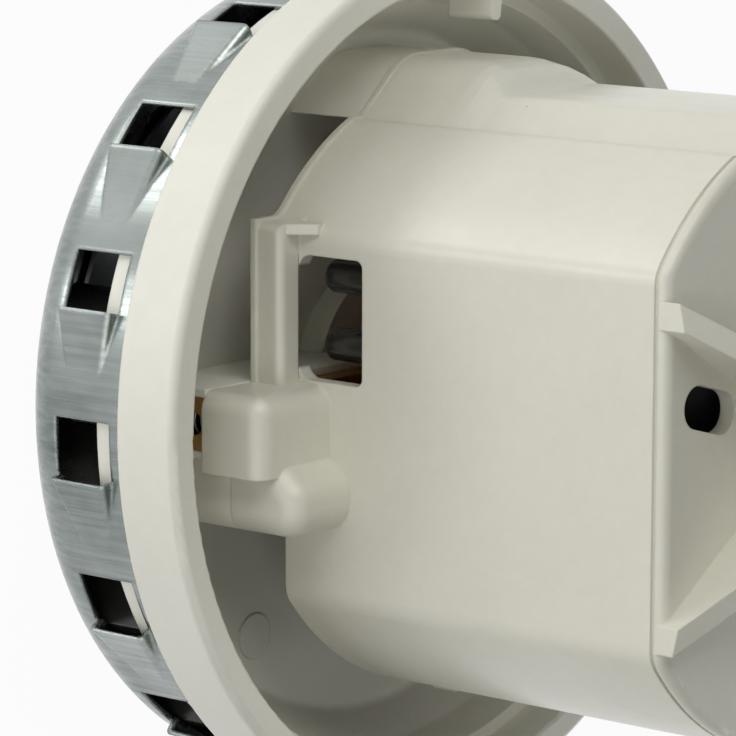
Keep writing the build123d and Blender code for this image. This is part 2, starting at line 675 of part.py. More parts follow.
def make_fan_vane():
    """One backward-swept vane of the suction fan, as a bent strip."""
    inner = fan_eye_radius + FAN_VANE_SETBACK
    outer = fan_radius
    tip_angle = math.radians(-FAN_VANE_SWEEP)
    tip = (outer * math.cos(tip_angle), outer * math.sin(tip_angle))
    middle_radius = (inner + outer) / 2
    middle_angle = tip_angle * 3 / 8
    middle = (middle_radius * math.cos(middle_angle), middle_radius * math.sin(middle_angle))
    line = ThreePointArc((inner, 0), middle, tip)
    strip = trace(line, FAN_VANE_SHEET)
    body = extrude(Pos(0, 0, fan_front_top) * strip, FAN_VANE_HEIGHT)
    return body & ring(fan_radius, inner, fan_front_top, fan_back_bottom)


def make_nut():
    """Hexagon nut that clamps the suction fan."""
    across_corners = FAN_NUT_ACROSS_FLATS / math.sqrt(3)
    body = extrude(Pos(0, 0, fan_nut_bottom) * RegularPolygon(across_corners, 6), FAN_NUT_HEIGHT)
    return body - disc(SHAFT_RADIUS, fan_nut_bottom - OVERRUN, fan_washer_bottom + OVERRUN)


def make_commutator():
    """Copper bars, marked off by slits, with risers for the winding."""
    body = ring(COMMUTATOR_RADIUS, commutator_hub_radius, commutator_bottom, commutator_top)
    body = body + ring(riser_radius, commutator_hub_radius, commutator_top - RISER_LENGTH, commutator_top)
    slit = block(COMMUTATOR_RADIUS - COMMUTATOR_SLIT_DEPTH, riser_radius + OVERRUN, -COMMUTATOR_SLIT / 2,
                 COMMUTATOR_SLIT / 2, commutator_bottom - OVERRUN, commutator_top + OVERRUN)
    return body.cut(*around(COMMUTATOR_BARS, slit))


def armature_slot(gap, bottom, top):
    """The space of one armature slot, or of the wire in it."""
    half = ARMATURE_SLOT_WIDTH / 2 - gap
    return block(ARMATURE_SLOT_INNER + gap, slot_outer - gap, -half, half, bottom, top)


def make_armature_core():
    """Stack of slotted laminations."""
    bottom = stack_bottom - OVERRUN
    top = stack_top + OVERRUN
    mouth = block(slot_outer - OVERRUN, ARMATURE_RADIUS + OVERRUN,
                  -ARMATURE_SLOT_MOUTH / 2, ARMATURE_SLOT_MOUTH / 2, bottom, top)
    slot = armature_slot(0, bottom, top) + mouth
    body = ring(ARMATURE_RADIUS, liner_radius, stack_bottom, stack_top)
    return body.cut(*around(ARMATURE_SLOTS, slot))


def make_armature_winding():
    """Wire in the slots, joined by the bulged turns at both ends."""
    lower_top = stack_bottom - END_DISC
    lower = ring(winding_radius, winding_inner_radius, lower_top - WINDING_LOWER, lower_top)
    lower = fillet(lower.edges().group_by(Axis.Z)[0], WINDING_ROUND)
    upper_bottom = stack_top + END_DISC
    upper = ring(winding_radius, winding_inner_radius, upper_bottom, winding_top)
    upper = fillet(upper.edges().group_by(Axis.Z)[-1], WINDING_ROUND)
    wire = armature_slot(COIL_GAP / 2, lower_top - OVERRUN, upper_bottom + OVERRUN)
    return lower.fuse(upper, *around(ARMATURE_SLOTS, wire))


def make_end_discs():
    """Insulating discs between the laminations and the bulged turns."""
    slots = around(ARMATURE_SLOTS, armature_slot(0, stack_bottom - OVERRUN, stack_top + OVERRUN))
    lower = ring(ARMATURE_RADIUS, liner_radius, stack_bottom - END_DISC, stack_bottom)
    upper = ring(ARMATURE_RADIUS, liner_radius, stack_top, stack_top + END_DISC)
    return Compound(children=[lower.cut(*slots), upper.cut(*slots)])


def hood_contour(inset, both_sides=False):
    """Plan of the hood, moved inwards by an inset."""
    radius = hood_radius - inset
    flat = hood_flat - inset
    left = -(hood_side_flat - inset)
    right = -left if both_sides else radius + OVERRUN
    frame = Pos((left + right) / 2, 0) * Rectangle(right - left, 2 * flat)
    face = Circle(radius) & frame
    corner_x = math.sqrt(radius**2 - flat**2)
    spots = [(x, y) for x in (-corner_x, corner_x) for y in (-flat, flat)]
    vertices = [face.vertices().sort_by_distance(spot)[0] for spot in spots]
    return fillet(vertices, HOOD_BLEND - inset / 2)


def hood_prism(inset, bottom, top, both_sides=False):
    """The hood's plan, inset, as a solid between two heights."""
    return extrude(Pos(0, 0, bottom) * hood_contour(inset, both_sides), top - bottom)


def shelf_blend(step, top):
    """Hollow corner that leads the hood's round side into the shelf's far side."""
    centre_x = -SHELF_FAR_SIDE - SHELF_BLEND
    reach = hood_radius + SHELF_BLEND
    centre_y = -math.sqrt(reach**2 - centre_x**2)
    share = (hood_radius + step) / reach
    touch = (centre_x * share, centre_y * share)
    side = -SHELF_FAR_SIDE - step
    corner = Polygon((side, centre_y), (side + HOOD_WALL, centre_y), (side + HOOD_WALL, touch[1]), touch,
                     align=None)
    face = corner - Pos(centre_x, centre_y) * Circle(SHELF_BLEND - step)
    return extrude(Pos(0, 0, hood_bottom) * face, top - hood_bottom)


def make_shelf():
    """Shelf under the vent window, with a gusset at its far end."""
    back = -hood_flat + HOOD_WALL
    body = block(-SHELF_FAR_SIDE, -SHELF_NEAR_SIDE, -shelf_front, back, hood_bottom, shelf_top)
    middle_x = -(SHELF_FAR_SIDE + SHELF_NEAR_SIDE) / 2
    top_front = (middle_x, -shelf_front, shelf_top)
    corner = (-SHELF_FAR_SIDE, -shelf_front, (hood_bottom + shelf_top) / 2)
    body = soften(body, SHELF_ROUND, top_front, corner)
    low = shelf_top - SHELF_ROUND
    gusset = extrude(Plane.YZ * Polygon(
        (-shelf_front + SHELF_ROUND, low), (back, low), (back, shelf_top + GUSSET_HEIGHT),
        (-hood_flat, shelf_top + GUSSET_HEIGHT), (-shelf_front + SHELF_ROUND, shelf_top),
        align=None), SHELF_WALL)
    return body + Pos(-SHELF_FAR_SIDE, 0, 0) * gusset + shelf_blend(0, shelf_top)


def make_shelf_hollow():
    """Space behind the shelf's front wall, open to the window and to the inside."""
    inner_top = shelf_top - SHELF_WALL
    far = -SHELF_FAR_SIDE + SHELF_WALL
    near = WINDOW_WIDTH - WINDOW_FAR_SIDE
    front = -shelf_front + SHELF_WALL
    room = block(far, near, front, -hood_flat + HOOD_WALL, hood_bottom - OVERRUN, inner_top)
    sill = block(-WINDOW_FAR_SIDE, near, -hood_flat, -hood_flat + HOOD_WALL + OVERRUN,
                 hood_bottom - OVERRUN, shelf_top + SEAT_GAP)
    return room + sill


def make_brush_cover():
    """Block over the outer end of a brush tube."""
    top = rim_top + BRUSH_COVER_TOP_ABOVE_RIM
    back = -hood_flat + HOOD_WALL
    body = block(-BRUSH_COVER_FAR_SIDE, BRUSH_COVER_NEAR_SIDE, -brush_cover_front, back, hood_bottom, top)
    middle_x = (BRUSH_COVER_NEAR_SIDE - BRUSH_COVER_FAR_SIDE) / 2
    top_front = (middle_x, -brush_cover_front, top)
    top_side = (-BRUSH_COVER_FAR_SIDE, (back - brush_cover_front) / 2, top)
    corner = (-BRUSH_COVER_FAR_SIDE, -brush_cover_front, (hood_bottom + top) / 2)
    return soften(body, BRUSH_COVER_ROUND, top_front, top_side, corner)


def make_boss():
    """Softly rounded screw boss beside the brush cover."""
    top = rim_top + BOSS_TOP_ABOVE_RIM
    back = -hood_flat + HOOD_WALL
    shoulder = (BOSS_START, top - BOSS_SLOPE)
    crest = (BOSS_START + BOSS_SLOPE, top)
    corner = (boss_end, top)
    face = Polygon((BOSS_START, boss_bottom), (boss_end, boss_bottom), corner, crest, shoulder, align=None)
    face = fillet(face.vertices().sort_by_distance(corner)[0], BOSS_CORNER_ROUND)
    for point in (shoulder, crest):
        face = fillet(face.vertices().sort_by_distance(point)[0], BOSS_SLOPE_ROUND)
    body = Pos(0, back, 0) * extrude(Plane.XZ * face, boss_front + back)
    front_edges = body.edges().group_by(Axis.Y)[0].sort_by(Axis.Z)[1:]
    return fillet(front_edges, BOSS_FRONT_ROUND)


def shell_prism(inset, bottom, top):
    """The hood's plan with its side land, inset, as a solid between two heights."""
    land = extrude(Pos(0, 0, bottom) * land_outline(inset), top - bottom)
    return hood_prism(inset, bottom, top) + land


def make_land():
    """Raised land on the hood's side, rounded at the crown like the hood."""
    body = extrude(Pos(0, 0, hood_bottom) * land_outline(0), hood_crown - hood_bottom)
    crown_edges = body.edges().group_by(Axis.Z)[-1].sort_by(Axis.X)[:-1]
    return fillet(crown_edges, HOOD_CROWN_ROUND)


def make_bump():
    """Side bump, straight at first and then sloping back to the land."""
    roof = rim_top + BUMP_ROOF_ABOVE_RIM
    body = extrude(Pos(0, 0, hood_bottom) * bump_outline(), roof - hood_bottom)
    shares = [step / BUMP_ROOF_STEPS for step in range(BUMP_ROOF_STEPS + 1)]
    sections = [Pos(0, 0, roof + share * BUMP_ROOF_HEIGHT) * roof_outline(share) for share in shares]
    return body + loft(sections, ruled=True)


def make_hood_ribs():
    """Four ribs that rise over the crown to the bearing hub."""
    inner = hub_radius - HOOD_WALL
    far = hood_radius + OVERRUN
    drop = RIB_SLOPE * (far - rib_reach)
    profile = turned((
        (inner, hood_crown - HOOD_WALL), (far, hood_crown - HOOD_WALL), (far, rib_corner - drop),
        (hub_radius, hub_top - HUB_ROUND), (inner, hub_top - HUB_ROUND)))
    limit = hood_prism(0, hood_ceiling, hub_top)
    bar = block(0, far, -RIB_WIDTH / 2, RIB_WIDTH / 2, hood_ceiling, hub_top)
    return [Rot(0, 0, angle) * bar & profile & limit for angle in RIB_ANGLES]


def make_vent():
    """Round-ended slot for the cooling air."""
    length = vent_outer_radius - vent_inner_radius
    slot = SlotOverall(length, VENT_WIDTH)
    centre = (vent_outer_radius + vent_inner_radius) / 2
    return extrude(Pos(centre, 0, hood_ceiling - OVERRUN) * slot, HOOD_WALL + 2 * OVERRUN)


def make_window():
    """Vent window through the hood's flat."""
    centre_x = WINDOW_WIDTH / 2 - WINDOW_FAR_SIDE
    centre_z = shelf_top + WINDOW_HEIGHT / 2
    face = Plane.XZ * Pos(centre_x, centre_z) * Rectangle(WINDOW_WIDTH, WINDOW_HEIGHT)
    face = fillet(face.vertices().group_by(Axis.Z)[0], WINDOW_LOW_ROUND)
    face = fillet(face.vertices().group_by(Axis.Z)[-1], WINDOW_HIGH_ROUND)
    depth = HOOD_WALL + OVERRUN
    return Pos(0, -hood_flat + depth, 0) * extrude(face, depth + OVERRUN)


def make_edge_relief():
    """Space under the hood's edge on the far side, where it ends higher and without a lip."""
    far = hood_radius + HOOD_LIP
    bottom = hood_bottom - OVERRUN
    behind = SHELF_FAR_SIDE + 2 * SHELF_BLEND
    front = block(boss_end, far, -far, 0, bottom, boss_bottom)
    return front + block(behind, far, -OVERRUN, far, bottom, boss_bottom)


def make_lug():
    """Small rounded lug on the hood's edge."""
    tip = hood_radius + LUG_REACH
    half = LUG_LENGTH / 2
    top = boss_bottom + LUG_HEIGHT
    body = block(0, tip, -half, half, boss_bottom, top)
    middle = (boss_bottom + top) / 2
    return soften(body, LUG_ROUND, (tip, 0, top), (tip, -half, middle), (tip, half, middle))


def make_motor_hood():
    """Moulded hood with its shelf, brush covers, bosses, bump, crown, ribs and bearing hub."""
    body = hood_prism(0, hood_bottom, hood_crown)
    body = fillet(body.edges().group_by(Axis.Z)[-1], HOOD_CROWN_ROUND)
    features = both_ends(make_shelf() + make_brush_cover() + make_boss())
    body = body + make_land() + features + make_bump()
    lip = hood_prism(-HOOD_LIP_STEP, hood_bottom, hood_bottom + HOOD_LIP)
    shelf_lip = block(-SHELF_FAR_SIDE - HOOD_LIP_STEP, -SHELF_NEAR_SIDE, -shelf_front - HOOD_LIP_STEP,
                      -hood_flat, hood_bottom, hood_bottom + HOOD_LIP)
    shelf_lip = shelf_lip + shelf_blend(HOOD_LIP_STEP, hood_bottom + HOOD_LIP)
    bump_lip = extrude(Pos(0, 0, hood_bottom) * bump_outline(HOOD_LIP_STEP), HOOD_LIP)
    body = body + lip + both_ends(shelf_lip) + bump_lip - make_edge_relief() + make_lug()
    body = body.fuse(disc(hub_radius, hood_ceiling, hub_top), *make_hood_ribs())
    rounded_hub = cup(hub_radius, HUB_ROUND, 0, hub_top - hood_ceiling)
    rounded_hub = Pos(0, 0, hub_top) * Rot(HALF_TURN, 0, 0) * rounded_hub
    body = body - (disc(hub_radius + CAST_GAP, hub_top - HUB_ROUND, hub_top + OVERRUN) - rounded_hub)
    body = body - hood_prism(HOOD_WALL, hood_bottom - OVERRUN, stack_top)
    body = body - hood_prism(HOOD_WALL + HOOD_SEAT_STEP, stack_top - OVERRUN, hood_ceiling)
    keep = hood_prism(HOOD_WALL / 2, stack_top, hood_ceiling)
    for x, y in stator_screw_places():
        body = body + (post(x, y, STATOR_BOSS_RADIUS, stack_top, hood_crown) & keep)
        body = body - post(x, y, STATOR_SCREW_RADIUS, stack_top - OVERRUN, stack_top + STATOR_SCREW_GRIP)
    body = body - disc(boot_radius + SEAT_GAP, hood_ceiling - OVERRUN, hub_top - HUB_TOP)
    half = tube_width / 2 + SEAT_GAP
    room = block(-half, half, -tube_end - CAST_GAP, -hood_flat / 2,
                 hood_bottom - OVERRUN, tube_top + CAST_GAP)
    slots = [Rot(0, 0, angle + turn) * make_vent() for angle in VENT_ANGLES for turn in (0, HALF_TURN)]
    body = body - both_ends(room + make_window() + make_shelf_hollow())
    body = body.cut(*slots)
    pilot_top = boss_bottom + HOOD_SCREW_GRIP
    for x, y in hood_screw_places():
        body = body - post(x, y, HOOD_SCREW_RADIUS, hood_bottom - OVERRUN, pilot_top)
    seam_top = hood_seam + HOOD_SEAM_WIDTH
    outside = shell_prism(-OVERRUN, hood_seam, seam_top)
    seam = outside - shell_prism(HOOD_SEAM_DEPTH, hood_seam - OVERRUN, seam_top + OVERRUN)
    return body - seam


def make_stator_core():
    """Stack of laminations with two poles and the room for both coils."""
    body = hood_prism(HOOD_WALL + CAST_GAP, stack_bottom, stack_top, both_sides=True)
    body = body - disc(stator_bore, stack_bottom - OVERRUN, stack_top + OVERRUN)
    low = COIL_INNER_ANGLE - SLOT_MARGIN_ANGLE
    for start in (low, low + HALF_TURN):
        sweep = HALF_TURN - 2 * low
        body = body - sector(coil_inner_radius - COIL_GAP, coil_outer_radius + COIL_GAP, start, start + sweep,
                             stack_bottom - OVERRUN, stack_top + OVERRUN)
    for start in (SLOT_MOUTH_ANGLE, SLOT_MOUTH_ANGLE + HALF_TURN):
        sweep = HALF_TURN - 2 * SLOT_MOUTH_ANGLE
        body = body - sector(stator_bore - OVERRUN, coil_inner_radius, start, start + sweep,
                             stack_bottom - OVERRUN, stack_top + OVERRUN)
    hole_radius = STATOR_SCREW_RADIUS + CAST_GAP
    return body - stator_screw_posts(hole_radius, stack_bottom - OVERRUN, stack_top + OVERRUN)


def stator_screw_posts(radius, bottom, top):
    """Four posts at the stator screws' places."""
    return Compound(children=[post(x, y, radius, bottom, top) for x, y in stator_screw_places()])


def stator_screw_places():
    """Where the stator's screws stand, in plan."""
    return [(x, y) for x in (-stator_screw_x, stator_screw_x) for y in (-stator_screw_y, stator_screw_y)]


def make_stator_screws():
    """Long screws through the stator into the hood."""
    head_top = stack_bottom - FRAME_PLATE
    heads = stator_screw_posts(STATOR_HEAD_RADIUS, head_top - STATOR_HEAD_HEIGHT, head_top)
    reach = stack_top + STATOR_SCREW_GRIP - OVERRUN
    shanks = stator_screw_posts(STATOR_SCREW_RADIUS - SEAT_GAP, head_top - SEAT_GAP, reach)
    pairs = zip(heads.solids(), shanks.solids())
    return Compound(children=[head + shank for head, shank in pairs])


def make_field_coil():
    """Saddle coil about the pole at +X, wound round the pole's root."""
    bottom = stack_bottom - COIL_OVERHANG
    top = stack_top + COIL_OVERHANG
    corners = ((coil_inner_radius, bottom), (coil_outer_radius, bottom),
               (coil_outer_radius, top), (coil_inner_radius, top))
    face = fillet(Polygon(*corners, align=None).vertices(), COIL_ROUND)
    body = revolve(Plane.XZ * face, Axis.Z, revolution_arc=2 * COIL_OUTER_ANGLE)
    body = Rot(0, 0, -COIL_OUTER_ANGLE) * body
    turn_bottom = stack_bottom - FRAME_PLATE - COIL_GAP
    turn_top = stack_top + FRAME_PLATE + COIL_GAP
    return body - sector(coil_inner_radius - OVERRUN, coil_outer_radius + OVERRUN,
                         -COIL_INNER_ANGLE, COIL_INNER_ANGLE, turn_bottom, turn_top)


def make_coil_frame(bottom):
    """Moulded plate that keeps the coils off the laminations."""
    inset = HOOD_WALL + HOOD_SEAT_STEP + FRAME_MARGIN
    body = hood_prism(inset, bottom, bottom + FRAME_PLATE, both_sides=True)
    body = body - disc(coil_inner_radius, bottom - OVERRUN, bottom + FRAME_PLATE + OVERRUN)
    low = COIL_INNER_ANGLE - SLOT_MARGIN_ANGLE
    for start in (low, low + HALF_TURN):
        sweep = HALF_TURN - 2 * low
        body = body - sector(coil_inner_radius - COIL_GAP, coil_outer_radius + COIL_GAP, start, start + sweep,
                             bottom - OVERRUN, bottom + FRAME_PLATE + OVERRUN)
    top = bottom + FRAME_PLATE
    return body - stator_screw_posts(STATOR_SCREW_RADIUS + CAST_GAP, bottom - OVERRUN, top + OVERRUN)


def make_upper_frame():
    """Upper coil frame, notched from outside round the hood's screw bosses."""
    body = make_coil_frame(stack_top)
    reach = STATOR_BOSS_RADIUS + CAST_GAP
    bottom = stack_top - OVERRUN
    top = stack_top + FRAME_PLATE + OVERRUN
    for x, y in stator_screw_places():
        outside = math.copysign(hood_side_flat, x)
        notch = block(min(x, outside), max(x, outside), y - reach, y + reach, bottom, top)
        body = body - post(x, y, reach, bottom, top) - notch
    return body


def make_lower_frame():
    """Lower coil frame with its two front pegs and the rear terminal block."""
    bottom = stack_bottom - FRAME_PLATE
    body = make_coil_frame(bottom)
    for x in (-PEG_OFFSET - PEG_SPACING / 2, -PEG_OFFSET + PEG_SPACING / 2):
        peg = post(0, 0, PEG_RADIUS, bottom - PEG_LENGTH, stack_bottom)
        peg = fillet(peg.edges().group_by(Axis.Z)[0], PEG_ROUND)
        body = body + Pos(x, peg_y, 0) * peg
    left = TAB_OFFSET - TAB_BLOCK_WIDTH / 2
    right = TAB_OFFSET + TAB_BLOCK_WIDTH / 2
    low = bottom - TAB_BLOCK_HEIGHT
    holder = block(left, right, terminal_back - TAB_BLOCK_DEPTH, terminal_back, low, stack_bottom)
    holder = holder - disc(coil_outer_radius + COIL_GAP, low - OVERRUN, bottom)
    body = body + holder
    for x in terminal_places():
        body = body - terminal_space(x, SEAT_GAP)
    return body


def terminal_places():
    """Where the two terminal tabs stand, along X."""
    return (TAB_OFFSET - TAB_SPACING / 2, TAB_OFFSET + TAB_SPACING / 2)


def terminal_space(x, gap):
    """The room of one terminal tab with a gap round it."""
    level = stack_bottom - FRAME_PLATE - TAB_BLOCK_HEIGHT / 2
    half = TAB_SHEET / 2 + gap
    tall = TAB_WIDTH / 2 + gap
    inner = terminal_back - TAB_SEAT
    return block(x - half, x + half, inner, inner + TAB_LENGTH, level - tall, level + tall)


def make_terminal(x):
    """Flat tab with its latching hole."""
    body = terminal_space(x, 0)
    tip = terminal_back - TAB_SEAT + TAB_LENGTH
    level = stack_bottom - FRAME_PLATE - TAB_BLOCK_HEIGHT / 2
    corner_edges = ((x, tip, level - TAB_WIDTH / 2), (x, tip, level + TAB_WIDTH / 2))
    slopes = [body.edges().sort_by_distance(point)[0] for point in corner_edges]
    body = chamfer(slopes, TAB_SHEET)
    hole = Rot(0, HALF_TURN / 2, 0) * Cylinder(TAB_HOLE_RADIUS, 2 * TAB_SHEET)
    return body - Pos(x, tip - TAB_HOLE_INSET, level) * hole


def make_brush_tube():
    """Rectangular brass tube of the front brush."""
    body = block(-tube_width / 2, tube_width / 2, -tube_end + CAP_SHEET, -tube_start, tube_bottom, tube_top)
    bore_x = tube_width / 2 - TUBE_WALL
    bore = block(-bore_x, bore_x, -tube_end - OVERRUN, 0, tube_bottom + TUBE_WALL, tube_top - TUBE_WALL)
    return body - bore


def make_brush_cap():
    """Brass end plate of the front brush tube, with its round hole."""
    body = block(-tube_width / 2, tube_width / 2, -tube_end, -tube_end + CAP_SHEET, tube_bottom, tube_top)
    hole = Rot(HALF_TURN / 2, 0, 0) * Cylinder(CAP_HOLE_RADIUS, 4 * CAP_SHEET)
    return body - Pos(0, -tube_end, brush_level) * hole


def make_brush():
    """Carbon brush with its hollowed running face."""
    half = BRUSH_WIDTH / 2
    bottom = brush_level - BRUSH_HEIGHT / 2
    body = block(-half, half, -brush_end, 0, bottom, bottom + BRUSH_HEIGHT)
    return body - disc(brush_start, bottom - OVERRUN, bottom + BRUSH_HEIGHT + OVERRUN)


def make_brush_spring():
    """Compression spring between the brush and the end plate, as its envelope."""
    length = tube_end - CAP_SHEET - brush_end
    middle = brush_end + length / 2
    body = Cylinder(SPRING_RADIUS, length) - Cylinder(SPRING_BORE, length + OVERRUN)
    return Pos(0, -middle, brush_level) * Rot(HALF_TURN / 2, 0, 0) * body


def make_cooler():
    """Small cooling fan at the hood's end of the shaft."""
    hub = ring(cooler_hub_radius, SHAFT_RADIUS, cooler_bottom, cooler_top)
    disc_radius = cooler_radius - COOLER_DISC_MARGIN
    plate = ring(disc_radius, SHAFT_RADIUS, cooler_bottom, cooler_bottom + COOLER_DISC)
    half = COOLER_BLADE / 2
    blade_start = cooler_hub_radius + COOLER_BLADE_SETBACK
    blade = block(blade_start, cooler_radius, -half, half, cooler_bottom, cooler_top)
    return hub.fuse(plate, *around(COOLER_BLADES, blade))


def make_shaft():
    """Motor shaft, stepped down for the upper bearing."""
    shoulder = small_bearing_bottom
    body = disc(SHAFT_RADIUS, shaft_bottom, shoulder)
    body = body + disc(SMALL_BEARING_BORE, shoulder - OVERRUN, small_bearing_top)
    return body


def make_hood_screws():
    """Screws that hold the hood to the flange."""
    head_top = floor_bottom + HOOD_HEAD_COVER + HOOD_HEAD_HEIGHT
    end = boss_bottom + HOOD_SCREW_GRIP - OVERRUN
    screws = []
    for x, y in hood_screw_places():
        head = post(x, y, HOOD_HEAD_RADIUS, head_top - HOOD_HEAD_HEIGHT, head_top)
        screws.append(head + post(x, y, HOOD_SCREW_RADIUS - SEAT_GAP, head_top - SEAT_GAP, end))
    return Compound(children=screws)


def make_all():
    """Every node of the unit under its name."""
    spun = Rot(0, 0, HALF_TURN)
    coil = make_field_coil()
    upper = (SMALL_BEARING_RADIUS, SMALL_BEARING_WIDTH, SMALL_BEARING_BORE, small_bearing_bottom)
    lower = (BEARING_RADIUS, BEARING_WIDTH, BEARING_BORE, cup_bottom)
    left_tab, right_tab = terminal_places()
    liner_top = stack_top + END_DISC
    return {
        "fan_cover": make_fan_cover(),
        "flange_housing": make_flange_housing(),
        "diffuser": make_diffuser(),
        "lower_bearing_outer": make_bearing_outer(*lower),
        "lower_bearing_inner": make_bearing_inner(*lower),
        "lower_bearing_balls": make_balls(*lower),
        "bearing_retainer": make_bearing_retainer(),
        "retainer_screws": make_retainer_screws(),
        "motor_hood": make_motor_hood(),
        "hood_screws": make_hood_screws(),
        "stator_core": make_stator_core(),
        "stator_screws": make_stator_screws(),
        "field_coil_right": coil,
        "field_coil_left": spun * coil,
        "coil_frame_lower": make_lower_frame(),
        "coil_frame_upper": make_upper_frame(),
        "terminal_left": make_terminal(left_tab),
        "terminal_right": make_terminal(right_tab),
        "brush_tube_front": make_brush_tube(),
        "brush_tube_back": spun * make_brush_tube(),
        "brush_cap_front": make_brush_cap(),
        "brush_cap_back": spun * make_brush_cap(),
        "brush_spring_front": make_brush_spring(),
        "brush_spring_back": spun * make_brush_spring(),
        "brush_front": make_brush(),
        "brush_back": spun * make_brush(),
        "upper_bearing_outer": make_bearing_outer(*upper),
        "upper_bearing_inner": make_bearing_inner(*upper),
        "upper_bearing_balls": make_balls(*upper),
        "bearing_boot": ring(boot_radius, SMALL_BEARING_RADIUS, small_bearing_bottom, hub_top - HUB_TOP),
        "wave_washer": ring(SMALL_BEARING_RADIUS - SEAT_GAP, SMALL_BEARING_RADIUS - WAVE_WASHER_WALL,
                            small_bearing_top, hub_top - HUB_TOP),
        "shaft": make_shaft(),
        "commutator": make_commutator(),
        "commutator_hub": ring(commutator_hub_radius, SHAFT_RADIUS, commutator_bottom, commutator_top),
        "shaft_liner": ring(liner_radius, SHAFT_RADIUS, commutator_top, liner_top),
        "armature_core": make_armature_core(),
        "armature_end_discs": make_end_discs(),
        "armature_winding": make_armature_winding(),
        "fan_spacer": ring(SHAFT_RADIUS + FAN_SPACER_WALL, SHAFT_RADIUS, fan_back_top, cup_bottom),
        "fan_back_disc": ring(fan_radius, SHAFT_RADIUS, fan_back_bottom, fan_back_top),
        "fan_front_disc": ring(fan_radius, fan_eye_radius, fan_front_bottom, fan_front_top),
        "fan_vanes": Compound(children=around(FAN_VANE_COUNT, make_fan_vane())),
        "fan_washer": ring(SHAFT_RADIUS + FAN_WASHER_WALL, SHAFT_RADIUS, fan_washer_bottom, fan_back_bottom),
        "fan_nut": make_nut(),
        "cooling_fan": make_cooler(),
    }


os.makedirs("parts", exist_ok=True)
for name, body in make_all().items():
    export_step(body, f"parts/{name}.step")
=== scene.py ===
"""Vacuum motor unit: finishes, wound and sprung pieces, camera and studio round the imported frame."""

import logging
import math
from dataclasses import dataclass
from enum import Enum
from typing import Optional, Sequence, Union

import bpy
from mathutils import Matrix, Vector


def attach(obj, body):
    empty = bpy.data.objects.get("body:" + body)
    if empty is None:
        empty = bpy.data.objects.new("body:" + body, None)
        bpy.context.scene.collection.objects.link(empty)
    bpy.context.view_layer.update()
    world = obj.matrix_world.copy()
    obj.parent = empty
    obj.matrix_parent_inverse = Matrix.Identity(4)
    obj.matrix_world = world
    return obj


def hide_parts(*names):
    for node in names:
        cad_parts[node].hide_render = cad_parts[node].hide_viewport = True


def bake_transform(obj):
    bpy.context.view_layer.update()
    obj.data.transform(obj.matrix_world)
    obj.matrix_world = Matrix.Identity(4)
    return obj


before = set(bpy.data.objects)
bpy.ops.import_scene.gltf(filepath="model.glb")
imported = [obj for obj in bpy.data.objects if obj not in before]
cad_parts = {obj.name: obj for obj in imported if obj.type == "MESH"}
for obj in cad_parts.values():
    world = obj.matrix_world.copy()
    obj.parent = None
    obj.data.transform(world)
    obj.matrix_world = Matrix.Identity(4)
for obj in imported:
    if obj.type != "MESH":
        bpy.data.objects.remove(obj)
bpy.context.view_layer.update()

log = logging.getLogger("motor_unit")
MM = 0.001
WHITE = (1.0, 1.0, 1.0, 1.0)
SPECK_CORE = 0.6  # share of a speck's radius that has its full colour
EDGE_SAMPLES = 6  # rays that round off a sharp edge
WIRE_FACETS = 2  # how finely a round wire is cut into flat sides
Colour = tuple[float, float, float]
Point = tuple[float, float, float]
Span = tuple[float, float]


class Side(Enum):
    """Which of two like pieces about the axis: the factor for X and Y of the first one's points."""

    FRONT = 1.0
    BACK = -1.0


class Lay(Enum):
    """How the fine marks of a surface run: the same each way, or drawn out along one axis."""

    EVEN = (1.0, 1.0, 1.0)
    ALONG_AXIS = (1.0, 1.0, 0.035)
    ACROSS_AXIS = (0.05, 0.05, 1.0)


def spin_point(point: Vector, side: Side) -> Vector:
    """Turns a point of the front piece to the place of its twin.

    Args:
        point: Place on the front piece, in metres.
        side: Which of the two pieces is wanted.

    Returns:
        The place on the wanted piece.
    """
    return Vector((side.value * point.x, side.value * point.y, point.z))


